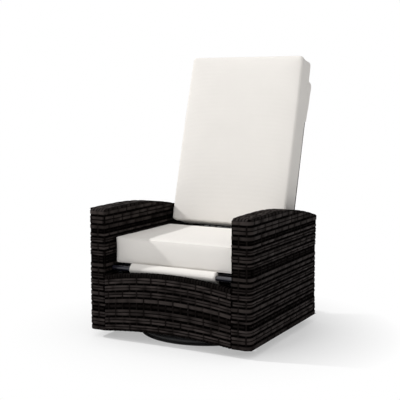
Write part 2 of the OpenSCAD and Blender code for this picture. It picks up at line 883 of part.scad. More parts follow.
module drive_rod() {
  color("#3a3b3d")
    difference() {
      plate_at(rod_x, rod_t) {
        flat_bar(open_eye_y, open_eye_z, crank_y, crank_z, rod_pin_d);
        translate([crank_y, crank_z]) circle(r = rod_pin_d / 2 + eye_wall);
        translate([open_eye_y, open_eye_z]) circle(r = rod_pin_d / 2 + open_eye_play + eye_wall);
      }
      disc_at(rod_x - over, rod_t + 2 * over, crank_y, crank_z, rod_pin_d + 2 * run_fit);
      disc_at(rod_x - over, rod_t + 2 * over, open_eye_y, open_eye_z, rod_pin_d + 2 * open_eye_play);
    }
}

module footrest_shaft() {
  half = flange_x + bracket_t - seat_gap;
  color("#1b1b1d") tube_across(link_y, link_z, shaft_d, half);
}

module footrest_link() {
  color("#3a3b3d")
    difference() {
      plate_at(link_x, plate_steel) {
        flat_bar(link_y, link_z, hinge_y, hinge_z, link_r);
        flat_bar(link_y, link_z, crank_y, crank_z, rod_pin_d);
        translate([link_y, link_z]) circle(r = shaft_d / 2 + eye_wall);
      }
      disc_at(link_x - over, plate_steel + 2 * over, link_y, link_z, shaft_d);
      disc_at(link_x - over, plate_steel + 2 * over, hinge_y, hinge_z, hinge_pin_d);
      disc_at(link_x - over, plate_steel + 2 * over, crank_y, crank_z, rod_pin_d);
    }
}

module crank_pins() {
  color("#9a9ca0")
    both_sides() disc_at(link_x, shaft_boss_x + 0.2 * rod_t - link_x, crank_y, crank_z, rod_pin_d);
}

// Hinge pins of the footrest, fixed in the links, with their washers' shoulders
module footrest_pins() {
  color("#9a9ca0")
    both_sides() {
      disc_at(arm_bar_x - 2 * seat_gap, link_out_x - arm_bar_x + 2 * seat_gap, hinge_y, hinge_z, hinge_pin_d);
      disc_at(arm_bar_x - bracket_t - 2 * seat_gap, bracket_t, hinge_y, hinge_z, 1.6 * hinge_pin_d);
      difference() {
        disc_at(link_x - link_washer_t, link_washer_t, hinge_y, hinge_z, 2 * hinge_pin_d);
        disc_at(link_x - 2 * link_washer_t, 3 * link_washer_t, hinge_y, hinge_z, hinge_pin_d);
      }
    }
}

// Carries what is drawn in the footrest's own plane to its stored place: X runs back along it, Y is its upper side
module in_footrest() {
  translate([0, nose_y, nose_z]) rotate([-stow_angle, 0, 0]) children();
}

nose_half = inner_x - 6 * seat_gap - bracket_t;
module footrest_nose_tube() {
  color("#1b1b1d") tube_across(nose_y, nose_z, nose_d, nose_half);
}

module footrest_arm() {
  color("#3a3b3d")
    difference() {
      plate_at(arm_bar_x, plate_steel) flat_bar(nose_y, nose_z, hinge_y, hinge_z, bar_r);
      disc_at(arm_bar_x - over, plate_steel + 2 * over, hinge_y, hinge_z, hinge_pin_d + 2 * run_fit);
      disc_at(arm_bar_x - over, plate_steel + 2 * over, nose_y, nose_z, nose_d);
    }
}

module footrest_bars() {
  color("#1b1b1d")
    in_footrest()
      for (k = bar_share) tube_across(pad_len * k, 0, bar_d, arm_bar_x);
}

// The padded sling over the front tube and the bars
module footrest_pad() {
  r = nose_d / 2 + pad_t;
  color("#e6e0d4")
    in_footrest()
      difference() {
        translate([-pad_w / 2, 0, 0])
          rotate([90, 0, 90])
            linear_extrude(pad_w)
              difference() {
                union() {
                  circle(r = r);
                  translate([0, -pad_low]) square([pad_len, pad_low + pad_high]);
                  translate([pad_len, (pad_high - pad_low) / 2]) circle(r = (pad_high + pad_low) / 2);
                }
                circle(d = nose_d + 2 * seat_gap);
                for (k = bar_share) translate([pad_len * k, 0]) circle(d = bar_d + 2 * seat_gap);
              }
      }
}

base_ring();
rotate([0, 0, -90]) spoke();  // base_spoke_front
rotate([0, 0, 90]) spoke();  // base_spoke_rear
spoke();  // base_spoke_left
rotate([0, 0, 180]) spoke();  // base_spoke_right
base_hub();
base_glide();
lower_swivel_plate();
ball_cage();
swivel_balls();
king_bolt();
king_nut();
upper_swivel_plate();
cross_tube(-cross_y);  // cross_tube_front
cross_tube(cross_y);  // cross_tube_rear
swivel_bolts();
arm_weave();  // arm_weave_left
mirror([1, 0, 0]) arm_weave();  // arm_weave_right
arm_frame();  // arm_frame_left
mirror([1, 0, 0]) arm_frame();  // arm_frame_right
apron_weave();
apron_frame();
skirt_weave();
skirt_frame();
seat_rail();  // seat_rail_left
mirror([1, 0, 0]) seat_rail();  // seat_rail_right
seat_front_tube();
seat_rear_tube();
seat_straps();
seat_cushion();
recline_bracket();  // recline_bracket_left
mirror([1, 0, 0]) recline_bracket();  // recline_bracket_right
footrest_bracket();  // footrest_bracket_left
mirror([1, 0, 0]) footrest_bracket();  // footrest_bracket_right
bracket_screws();
back_hoop();
back_cross_tubes();
back_weave();
back_ear();  // back_ear_left
mirror([1, 0, 0]) back_ear();  // back_ear_right
recline_pins();
friction_washers();
lever_pins();
back_cushion();
cushion_pocket();
drive_rod();  // drive_rod_left
mirror([1, 0, 0]) drive_rod();  // drive_rod_right
footrest_shaft();
footrest_link();  // footrest_link_left
mirror([1, 0, 0]) footrest_link();  // footrest_link_right
crank_pins();
footrest_pins();
footrest_nose_tube();
footrest_arm();  // footrest_arm_left
mirror([1, 0, 0]) footrest_arm();  // footrest_arm_right
footrest_bars();
footrest_pad();
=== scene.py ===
"""Looks of a woven swivel recliner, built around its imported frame.

Everything is in metres in the frame's own axes: the sitter faces -Y, +X is the sitter's left, +Z is up.
"""

from __future__ import annotations

import json
import logging
import math
import random
from contextlib import contextmanager
from dataclasses import dataclass, field
from enum import Enum
from typing import Callable, Iterator, Sequence

import bmesh
import bpy
import numpy as np
from mathutils import Matrix, Vector
from mathutils.bvhtree import BVHTree
from mathutils.noise import noise

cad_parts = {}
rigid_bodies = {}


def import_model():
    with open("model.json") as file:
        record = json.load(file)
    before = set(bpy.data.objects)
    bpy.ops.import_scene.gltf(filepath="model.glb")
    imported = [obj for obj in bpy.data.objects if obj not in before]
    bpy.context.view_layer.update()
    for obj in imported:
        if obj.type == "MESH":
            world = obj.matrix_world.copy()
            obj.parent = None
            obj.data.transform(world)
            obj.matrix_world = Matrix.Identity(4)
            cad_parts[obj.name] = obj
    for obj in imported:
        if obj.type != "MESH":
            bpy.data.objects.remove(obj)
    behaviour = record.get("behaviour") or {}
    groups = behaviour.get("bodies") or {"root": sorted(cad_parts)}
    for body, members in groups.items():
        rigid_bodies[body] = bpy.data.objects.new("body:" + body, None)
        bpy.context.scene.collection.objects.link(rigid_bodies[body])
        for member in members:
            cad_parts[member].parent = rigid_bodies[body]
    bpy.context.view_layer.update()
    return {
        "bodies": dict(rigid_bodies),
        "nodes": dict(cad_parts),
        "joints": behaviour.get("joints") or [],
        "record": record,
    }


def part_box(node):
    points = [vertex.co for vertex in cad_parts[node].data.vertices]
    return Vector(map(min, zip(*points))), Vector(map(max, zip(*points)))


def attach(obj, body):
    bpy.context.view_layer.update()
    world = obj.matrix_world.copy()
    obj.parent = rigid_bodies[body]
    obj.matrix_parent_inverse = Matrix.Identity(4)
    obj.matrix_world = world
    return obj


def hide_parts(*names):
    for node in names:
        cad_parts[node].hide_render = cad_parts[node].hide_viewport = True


LOG = logging.getLogger("recliner")
MM = 0.001

WHITE = (1.0, 1.0, 1.0, 1.0)

Array = np.ndarray
Point = tuple[float, float, float]
Colour = tuple[float, float, float, float]
Piece = bpy.types.Object
Skin = bpy.types.Material


class Body(Enum):
    """The frame's bodies that new pieces ride on."""

    CHASSIS = "chassis"
    BACK = "back"
    FOOTREST = "footrest"


# Editing helpers


def select_only(obj: Piece) -> None:
    """Selects obj alone and makes it active."""
    bpy.ops.object.select_all(action="DESELECT")
    obj.select_set(True)
    bpy.context.view_layer.objects.active = obj


@contextmanager
def editing(obj: Piece, mode: str = "VERT", picked: str = "DESELECT") -> Iterator[bmesh.types.BMesh]:
    """Opens obj in edit mode.

    Args:
        obj: The mesh object to edit.
        mode: What is selected: VERT, EDGE or FACE.
        picked: SELECT to start with everything selected, DESELECT with nothing.
    """
    select_only(obj)
    bpy.ops.object.mode_set(mode="EDIT")
    bpy.ops.mesh.select_mode(type=mode)
    bpy.ops.mesh.select_all(action=picked)
    yield bmesh.from_edit_mesh(obj.data)
    bpy.ops.object.mode_set(mode="OBJECT")


def pick_edges(piece: Piece, mesh: bmesh.types.BMesh, test: Callable[[bmesh.types.BMEdge], bool]) -> None:
    """Selects the edges of an open mesh that pass a test."""
    for edge in mesh.edges:
        edge.select_set(test(edge))
    bmesh.update_edit_mesh(piece.data)


def primitive(add: Callable[..., object], **settings: object) -> Piece:
    """Adds a primitive by one of Blender's operators, selected alone."""
    bpy.ops.object.select_all(action="DESELECT")
    add(**settings)
    return bpy.context.object


def modify(obj: Piece, kind: str, **settings: object) -> None:
    """Adds a modifier to obj with its settings and applies it."""
    select_only(obj)
    modifier = obj.modifiers.new(kind.title(), kind)
    for name, value in settings.items():
        setattr(modifier, name, value)
    bpy.ops.object.modifier_apply(modifier=modifier.name)


def join(objects: Sequence[Piece], name: str) -> Piece:
    """Joins objects into the first one and names it.

    Returns:
        The joined object.
    """
    bpy.ops.object.select_all(action="DESELECT")
    for obj in objects:
        obj.select_set(True)
    bpy.context.view_layer.objects.active = objects[0]
    if len(objects) > 1:
        bpy.ops.object.join()
    objects[0].name = objects[0].data.name = name
    return objects[0]


def own_copy(obj: Piece, name: str) -> Piece:
    """Returns a copy of obj with a mesh of its own."""
    twin = bpy.data.objects.new(name, obj.data.copy())
    bpy.context.scene.collection.objects.link(twin)
    return twin


def coordinates(obj: Piece) -> Array:
    """Returns the vertices of a mesh object as rows."""
    flat = np.empty(len(obj.data.vertices) * 3)
    obj.data.vertices.foreach_get("co", flat)
    return flat.reshape(-1, 3)


def put_coordinates(obj: Piece, rows: Array) -> None:
    """Moves the vertices of a mesh object to the given rows."""
    obj.data.vertices.foreach_set("co", np.asarray(rows, float).ravel())
    obj.data.update()


def normals_of(piece: Piece) -> Array:
    """Returns the vertices' normals as rows."""
    flat = np.empty(len(piece.data.vertices) * 3)
    piece.data.vertices.foreach_get("normal", flat)
    return flat.reshape(-1, 3)


def settle(obj: Piece, matrix: Matrix | None = None) -> None:
    """Applies a placing matrix and the object's own transform to its mesh."""
    if matrix is not None:
        obj.matrix_world = matrix @ obj.matrix_world
    select_only(obj)
    bpy.ops.object.transform_apply(location=True, rotation=True, scale=True)


def face_outwards(obj: Piece) -> None:
    """Merges doubles and turns every face outwards."""
    with editing(obj, picked="SELECT"):
        bpy.ops.mesh.remove_doubles(threshold=1e-6)
        bpy.ops.mesh.normals_make_consistent(inside=False)


def shade_by_angle(obj: Piece, degrees: float) -> None:
    """Shades obj smooth, with edges past the angle kept sharp."""
    select_only(obj)
    bpy.ops.object.shade_smooth_by_angle(angle=math.radians(degrees))


# Paths


def stacked(*values: Array | float) -> Array:
    """Rows made of columns, where one number fills a whole column."""
    return np.column_stack(np.broadcast_arrays(*values))


def arc(x: float, y: float, radius: float | Array, degrees: Array) -> Array:
    """Rows along an arc round a point, each a place and its outward vector."""
    cosine, sine = np.cos(np.radians(degrees)), np.sin(np.radians(degrees))
    return stacked(x + radius * cosine, y + radius * sine, cosine, sine)


def noise_at(*places: Array | float) -> Array:
    """Noise between about -1 and 1 at rows of places, the same each time."""
    return np.array([noise(Vector(row)) for row in stacked(*places)])


def bell(away: Array, width: float) -> Array:
    """1 at no distance, fading to 0 past a width."""
    return np.exp(-((away / width) ** 2))


def unit(rows: Array) -> Array:
    """Rows made one long."""
    return rows / np.linalg.norm(rows, axis=1)[:, None]


def walked(rows: Array) -> Array:
    """How far along a path each of its points lies."""
    return np.concatenate([[0], np.cumsum(np.linalg.norm(np.diff(rows, axis=0), axis=1))])


def read_at(places: Array, along: Array, rows: Array) -> Array:
    """Rows at the given places along a path, between the rows that stand there."""
    return np.column_stack([np.interp(places, along, column) for column in rows.T])


def middles(start: float, end: float, count: int) -> Array:
    """The middles of so many equal parts of a length."""
    return start + (end - start) * (np.arange(count) + 0.5) / count


def evenly(track: Array, count: int) -> Array:
    """So many evenly spaced points of a closed track."""
    loop = np.vstack([track, track[:1]])
    along = walked(loop)
    return read_at(along[-1] * np.arange(count) / count, along, loop)


def rounded(over: float, radius: float) -> float:
    """How far a rounded corner has drawn in, so far past its start."""
    over = min(max(over, 0.0), radius)
    return radius - math.sqrt(radius**2 - over**2)


# Shader maths


class Wire:
    """A shader socket that adds nodes when it is used in an expression."""

    def __init__(self, mix: Mix, socket: bpy.types.NodeSocket) -> None:
        """Keeps the material being mixed and the socket."""
        self.mix = mix
        self.socket = socket

    def _math(self, operation: str, *values: Wire | float, clamp: bool = False) -> Wire:
        """Adds one Math node."""
        return self.mix.node("ShaderNodeMath", {"operation": operation, "use_clamp": clamp}, dict(enumerate(values)))

    def __add__(self, other: Wire | float) -> Wire:
        """Sum."""
        return self._math("ADD", self, other)

    __radd__ = __add__

    def __sub__(self, other: Wire | float) -> Wire:
        """Difference."""
        return self._math("SUBTRACT", self, other)

    def __rsub__(self, other: float) -> Wire:
        """A number less this."""
        return self._math("SUBTRACT", other, self)

    def __mul__(self, other: Wire | float) -> Wire:
        """Product."""
        return self._math("MULTIPLY", self, other)

    __rmul__ = __mul__

    def sine(self) -> Wire:
        """Sine of an angle in radians."""
        return self._math("SINE", self)

    def larger(self, other: Wire | float) -> Wire:
        """The larger of two."""
        return self._math("MAXIMUM", self, other)

    def clamp(self) -> Wire:
        """Kept between 0 and 1."""
        return self._math("ADD", self, 0.0, clamp=True)


class Mix:
    """A material being mixed on a Principled shader."""

    def __init__(self, name: str) -> None:
        """Starts a material with the given name."""
        self.material = bpy.data.materials.new(name)
        self.material.use_nodes = True
        self.tree = self.material.node_tree
        self.shader = self.tree.nodes["Principled BSDF"]
        self.surface = Wire(self, self.shader.outputs[0])

    def node(self, kind: str, settings: dict | None = None, inputs: dict | None = None, output: int | str = 0) -> Wire:
        """Adds one node.

        Args:
            kind: The node's type.
            settings: Attributes of the node, set first.
            inputs: Values or wires by socket name or number.
            output: Which output the wire holds.

        Returns:
            The node's output.
        """
        made = self.tree.nodes.new(kind)
        for key, value in (settings or {}).items():
            setattr(made, key, value)
        for key, value in (inputs or {}).items():
            self.feed(made.inputs[key], value)
        return Wire(self, made.outputs[output])

    def feed(self, socket: bpy.types.NodeSocket, value: object) -> None:
        """Links a wire to a socket, or sets its value."""
        if isinstance(value, Wire):
            self.tree.links.new(value.socket, socket)
        else:
            socket.default_value = value

    def place(self, source: str = "Object") -> Wire:
        """Coordinates of the piece: Object or UV."""
        return self.node("ShaderNodeTexCoord", output=source)

    def stretched(self, vector: Wire, scale: Point) -> Wire:
        """Coordinates scaled by axis."""
        return self.node("ShaderNodeMapping", inputs={"Vector": vector, "Scale": scale})

    def noise(self, vector: Wire, scale: float, detail: float = 2.0) -> Wire:
        """Soft noise between 0 and 1."""
        return self.node("ShaderNodeTexNoise", inputs={"Vector": vector, "Scale": scale, "Detail": detail})

    def ramp(self, factor: Wire, low: float, high: float) -> Wire:
        """Factor spread between two limits to 0 and 1."""
        return self.node("ShaderNodeMapRange", {"clamp": True}, {0: factor, 1: low, 2: high, 3: 0.0, 4: 1.0})

    def blend(self, factor: Wire, first: object, second: object) -> Wire:
        """Mixes two colours."""
        inputs = {"Factor": factor, 6: first, 7: second}
        return self.node("ShaderNodeMix", {"data_type": "RGBA"}, inputs, output=2)

    def axis(self, vector: Wire, name: str) -> Wire:
        """One component of a vector."""
        return self.node("ShaderNodeSeparateXYZ", inputs={0: vector}, output=name)

    def tint(self, factor: Wire, colour: Colour, change: float) -> None:
        """Feeds the base colour: the given one, lighter or darker where the factor is 1."""
        self.set(base_color=self.blend(factor, colour, shaded(colour, change)))

    def bump(self, height: Wire, distance: float, strength: float = 1.0) -> None:
        """Feeds the shader's normal with a bump of real height."""
        normal = self.node("ShaderNodeBump", inputs={"Height": height, "Distance": distance, "Strength": strength})
        self.feed(self.shader.inputs["Normal"], normal)

    def set(self, **values: object) -> None:
        """Sets sockets of the shader, their names written with underscores."""
        for name, value in values.items():
            self.feed(self.shader.inputs[name.replace("_", " ").title().replace("Ior", "IOR")], value)

    def show(self, shader: Wire) -> None:
        """Makes a shader the material's surface."""
        self.feed(self.tree.nodes["Material Output"].inputs["Surface"], shader)


class WorldMix(Mix):
    """The world's light, mixed in the same way."""

    def __init__(self, name: str) -> None:
        """Starts a world with no nodes and lights the scene by it."""
        world = bpy.context.scene.world = bpy.data.worlds.new(name)
        world.use_nodes = True
        self.tree = world.node_tree
        self.tree.nodes.clear()

    def show(self, shader: Wire) -> None:
        """Makes a shader the world's surface."""
        self.feed(self.tree.nodes.new("ShaderNodeOutputWorld").inputs["Surface"], shader)


def shaded(colour: Colour, factor: float) -> Colour:
    """Returns a colour made lighter or darker by a factor."""
    return (*(part * factor for part in colour[:3]), 1.0)


# Finishes


@dataclass(frozen=True)
class StrandFinish:
    """Extruded flat strand: dark, faintly streaked along its length, with a dull sheen; its tone attribute carries
    painted shade, and the sheen fades with it.
    """

    name: str = "woven_strand"
    dark: Colour = (0.0012, 0.0009, 0.0008, 1.0)
    light: Colour = (0.036, 0.0285, 0.0263, 1.0)
    roughness: float = 0.6
    gloss: float = 0.2

    def make(self) -> Skin:
        """Returns the material."""
        mix = Mix(self.name)
        run = mix.place("UV")
        streak = mix.noise(mix.stretched(run, (6.0, 900.0, 1.0)), 1.0, 3.0)
        cloud = mix.noise(mix.stretched(run, (14.0, 30.0, 1.0)), 1.0, 2.0)
        # The tone attribute holds painted shade at edges, dips, sunk bands, stakes and the backing sheet.
        tone = mix.node("ShaderNodeAttribute", {"attribute_name": "tone"}, output="Fac")
        shade = (tone * (0.5 + 0.5 * mix.ramp(streak, 0.3, 0.7)) * (0.65 + 0.35 * cloud)).clamp()
        mix.set(base_color=mix.blend(shade, self.dark, self.light))
        mix.set(roughness=self.roughness + 0.2 * mix.ramp(cloud, 0.35, 0.7) - 0.08 * streak)
        # Painted shade: the coat's gloss falls with the tone, so shaded parts lose their reflection.
        mix.set(specular_ior_level=0.0, coat_weight=self.gloss * shade, coat_roughness=0.45)
        mix.bump(streak + 0.4 * cloud, 0.00035)
        return mix.material


@dataclass(frozen=True)
class ClothFinish:
    """Plain-woven outdoor cloth with a fine thread grid and a soft sheen."""

    name: str
    colour: Colour = (0.83, 0.80, 0.76, 1.0)
    threads_per_metre: float = 1150.0
    sheen: float = 0.15

    def make(self) -> Skin:
        """Returns the material."""
        mix = Mix(self.name)
        here = mix.place()
        grid = mix.stretched(here, (self.threads_per_metre,) * 3)
        threads = mix.axis(grid, "X").sine() + mix.axis(grid, "Y").sine() + mix.axis(grid, "Z").sine()
        slub = mix.noise(mix.stretched(here, (260.0, 40.0, 900.0)), 1.0, 3.0)
        cloud = mix.noise(here, 9.0, 3.0)
        shade = (0.25 + 0.5 * mix.ramp(slub, 0.25, 0.75) + 0.35 * mix.ramp(cloud, 0.3, 0.7)).clamp()
        mix.set(base_color=mix.blend(shade, shaded(self.colour, 0.94), self.colour))
        mix.set(roughness=0.86 + 0.08 * cloud, specular_ior_level=0.25)
        mix.set(sheen_weight=self.sheen, sheen_roughness=0.5)
        mix.bump(0.34 * threads + slub, 0.00022, 0.7)
        return mix.material


@dataclass(frozen=True)
class CoatFinish:
    """Powder-coated steel: a thin skin with a fine orange peel and a little dust in its gloss."""

    name: str
    colour: Colour
    roughness: float
    coat: float = 0.0
    grain: float = 900.0

    def make(self) -> Skin:
        """Returns the material."""
        mix = Mix(self.name)
        here = mix.place()
        peel = mix.noise(here, self.grain, 2.0)
        dust = mix.noise(here, 11.0, 4.0)
        mix.tint(mix.ramp(dust, 0.45, 0.8), self.colour, 1.6)
        mix.set(roughness=self.roughness + 0.14 * mix.ramp(dust, 0.4, 0.75) + 0.05 * peel)
        mix.set(coat_weight=self.coat, coat_roughness=0.12)
        mix.bump(peel, 0.00012, 0.6)
        return mix.material


@dataclass(frozen=True)
class MetalFinish:
    """Bare or plated metal, brushed along one axis."""

    name: str
    colour: Colour
    roughness: float
    brush: Point = (40.0, 1600.0, 1600.0)

    def make(self) -> Skin:
        """Returns the material."""
        mix = Mix(self.name)
        here = mix.place()
        lines = mix.noise(mix.stretched(here, self.brush), 1.0, 2.0)
        stain = mix.noise(here, 35.0, 3.0)
        mix.tint(mix.ramp(stain, 0.4, 0.75), self.colour, 0.7)
        mix.set(metallic=1.0, roughness=self.roughness + 0.15 * stain + 0.1 * lines)
        mix.bump(lines, 0.00008, 0.5)
        return mix.material


@dataclass(frozen=True)
class WebbingFinish:
    """Elastic seat webbing: ribbed across, with a pale warp line."""

    name: str = "seat_webbing"
    colour: Colour = (0.02, 0.02, 0.021, 1.0)

    def make(self) -> Skin:
        """Returns the material."""
        mix = Mix(self.name)
        here = mix.place()
        ribs = mix.axis(mix.stretched(here, (2400.0, 1.0, 1.0)), "X").sine()
        warp = mix.axis(mix.stretched(here, (1.0, 900.0, 1.0)), "Y").sine()
        lines = mix.ramp(warp, 0.6, 1.0)
        mix.tint(lines, self.colour, 3.2)
        mix.set(roughness=0.8 + 0.1 * lines, specular_ior_level=0.2)
        mix.bump(ribs * (0.6 + 0.4 * warp), 0.0003, 0.8)
        return mix.material


@dataclass(frozen=True)
class PlasticFinish:
    """Moulded black plastic with a fine spark texture."""

    name: str = "moulded_plastic"
    colour: Colour = (0.014, 0.014, 0.015, 1.0)

    def make(self) -> Skin:
        """Returns the material."""
        mix = Mix(self.name)
        here = mix.place()
        spark = mix.noise(here, 1300.0, 2.0)
        scuff = mix.noise(here, 24.0, 4.0)
        mix.tint(mix.ramp(scuff, 0.5, 0.8), self.colour, 2.2)
        mix.set(roughness=0.5 + 0.2 * mix.ramp(scuff, 0.4, 0.8), specular_ior_level=0.4)
        mix.bump(spark, 0.0001, 0.6)
        return mix.material


# Weaving


class Depth(Enum):
    """How a band of strands lies in the weave.

    level is the mean height of its face over the frame's surface, swing how far it goes over and under the stakes,
    and tone how light it looks. The low tones of the sunk bands, the stakes and the backing sheet are painted shade
    for their recesses and the hollow behind the weave.
    """

    FACE = (-0.2 * MM, 1.0 * MM, 1.0)
    SUNK = (-1.9 * MM, 0.6 * MM, 0.26)
    LINING = (-2.3 * MM, 0.0, 0.0)
    STAKE = (-0.7 * MM, 0.2 * MM, 0.16)

    def __init__(self, level: float, swing: float, tone: float) -> None:
        """Names the values."""
        self.level, self.swing, self.tone = level, swing, tone


@dataclass(frozen=True)
class Band:
    """A group of strands that goes over and under the stakes together.

    top and bottom are heights in mm over the floor, or shares of a panel's height.
    """

    top: float
    bottom: float
    depth: Depth = Depth.FACE


@dataclass(frozen=True)
class StrandSize:
    """Size of the flat strand, and the painted shade kept at its edges and where it dips behind a stake."""

    pitch: float = 12.6 * MM
    gap: float = 1.9 * MM
    band_gap: float = 4.4 * MM
    thickness: float = 1.3 * MM
    crown: float = 0.9 * MM
    columns: int = 3
    stake_width: float = 8.0 * MM
    # Painted shade: how light a strand stays at its edges and where it dips behind a stake.
    painted_edge_shade: float = 0.12
    painted_dip_shade: float = 0.62
    wander: float = 0.5 * MM
    patchiness: float = 0.55
    ease: float = 30 * MM


def over_under(step: Array, phase: float, dip: float = 0.24) -> Array:
    """A weave's rise and fall: long spans over the stakes, with short dips behind every second one.

    Args:
        step: Place along the strand, in stakes.
        phase: 0 or 1, which stakes it goes behind.
        dip: Half width of a dip, in stakes.

    Returns:
        1 where the strand is over, -1 where it is behind a stake.
    """
    away = np.abs((step + phase) % 2.0 - 1.0)
    return 1.0 - 2.0 * bell(away, dip)


def drift(along: Array, pace: float, seed: float) -> Array:
    """A slow wander between about -1 and 1, the same each time.

    Args:
        along: Places along a line.
        pace: How many turns it takes per unit.
        seed: Which wander.
    """
    return noise_at(along * pace, seed, 0.37 * seed) * 1.6


class Loom:
    """Lays flat strands and joins them into one woven piece."""

    def __init__(self, size: StrandSize, seed: int) -> None:
        """Starts an empty piece with a seeded spread of tones."""
        self.size = size
        self.random = random.Random(seed)
        self.strands: list[Piece] = []
        self.blanks: dict[int, Piece] = {}

    def _blank(self, steps: int) -> Piece:
        """A flat strand with so many steps, modelled once for each length."""
        if steps not in self.blanks:
            self.blanks[steps] = primitive(
                bpy.ops.mesh.primitive_grid_add, x_subdivisions=steps, y_subdivisions=self.size.columns, size=1
            )
        return self.blanks[steps]

    def lay(
        self, path: Array, outward: Array | Point, width: float, tone: float, over: Array | None = None,
        closed: bool = False,
    ) -> None:
        """Lays one strand along a path.

        Args:
            path: Points along the strand's middle, one row each.
            outward: Unit vectors out of the weave at those points, or one for all.
            width: Width of the strand.
            tone: How light it looks, about 0 to 1.
            over: How far it is over or under the stakes at each point, from 1 to -1.
            closed: Whether the strand runs into its own start.
        """
        over = np.ones(len(path)) if over is None else over
        outward = np.broadcast_to(outward, path.shape)
        if closed:
            path, outward = np.vstack([path, path[:1]]), np.vstack([outward, outward[:1]])
            over = np.append(over, over[0])
            ahead = np.roll(path[:-1], -1, axis=0) - np.roll(path[:-1], 1, axis=0)
            ahead = np.vstack([ahead, ahead[:1]])
        else:
            ahead = np.gradient(path, axis=0)
        across = unit(np.cross(outward, unit(ahead)))
        length = walked(path)
        ease = np.minimum(1.0, np.minimum(length, length[-1] - length) / self.size.ease)
        seed = self.random.random() * 90.0
        path = path + across * (self.size.wander * ease * drift(length, 9.0, seed))[:, None]
        steps, columns = len(path) - 1, self.size.columns
        strand = own_copy(self._blank(steps), "strand")
        flat = coordinates(strand)
        i = np.rint((flat[:, 0] + 0.5) * steps).astype(int)
        j = np.rint((flat[:, 1] + 0.5) * columns) / columns
        side = np.interp(j, [0, 1 / 3, 2 / 3, 1], [-0.5, -0.3, 0.3, 0.5])
        drop = np.where(np.abs(side) > 0.4, self.size.crown, 0.0)
        put_coordinates(strand, path[i] + across[i] * (side * width)[:, None] - outward[i] * drop[:, None])
        corners = np.empty(len(strand.data.loops), int)
        strand.data.loops.foreach_get("vertex_index", corners)
        shift = self.random.random() * 40.0
        uv = stacked(length[i][corners] + shift, (side * width)[corners] + shift)
        strand.data.uv_layers[0].data.foreach_set("uv", uv.ravel())
        patch = 1.0 + self.size.patchiness * ease * drift(length, 21.0, seed + 7.0)
        spread = tone * (0.7 + 0.6 * self.random.random()) * np.clip(patch[i], 0.25, 1.8)
        # Painted shade: the tone falls at the strand's edges and where it dips behind a stake.
        painted_shading = np.where(np.abs(side) > 0.4, self.size.painted_edge_shade, 1.0)
        painted_shading = painted_shading * (self.size.painted_dip_shade + (1 - self.size.painted_dip_shade) * (over[i] + 1) / 2)
        attribute = strand.data.attributes.new("tone", "FLOAT", "POINT")
        attribute.data.foreach_set("value", (spread * painted_shading).astype(np.float32))
        self.strands.append(strand)

    def finish(self, name: str, thickness: float | None = None) -> Piece:
        """Joins the strands, gives them their thickness and shades them.

        Returns:
            The woven piece.
        """
        for blank in self.blanks.values():
            bpy.data.objects.remove(blank)
        piece = join(self.strands, name)
        with editing(piece, picked="SELECT"):
            bpy.ops.mesh.remove_doubles(threshold=1e-7)
        modify(piece, "SOLIDIFY", thickness=thickness or self.size.thickness, offset=-1.0, use_even_offset=False)
        shade_by_angle(piece, 42.0)
        return piece

    def rows_in(self, top: float, bottom: float) -> list[tuple[float, float]]:
        """Middles and widths of the strands that fill a band, from the top down."""
        start, end = top - self.size.band_gap / 2, bottom + self.size.band_gap / 2
        count = max(1, round((start - end) / self.size.pitch))
        return [(z, (start - end) / count - self.size.gap) for z in middles(start, end, count)]


ARM_BANDS = (
    Band(538, 516), Band(515, 480), Band(479, 457), Band(456, 446, Depth.SUNK), Band(445, 428), Band(427, 403),
    Band(402, 372), Band(371, 347), Band(346, 321, Depth.SUNK), Band(320, 299), Band(298, 278), Band(277, 253),
    Band(252, 227), Band(226, 202), Band(201, 179), Band(178, 152), Band(151, 135), Band(134, 118, Depth.SUNK),
    Band(117, 89), Band(88, 55), Band(54, 31),
)
PANEL_BANDS = (
    Band(0.06, 0.175), Band(0.18, 0.295), Band(0.3, 0.41), Band(0.415, 0.51), Band(0.515, 0.595, Depth.SUNK),
    Band(0.60, 0.735), Band(0.745, 0.86), Band(0.87, 0.975),
)


def loop_drift(step: Array, turn: float, seed: float) -> Array:
    """A slow wander like drift's that meets its own start after a full turn."""
    share = step / turn
    return drift(step, 0.6, seed) * (1 - share) + drift(step - turn, 0.6, seed) * share


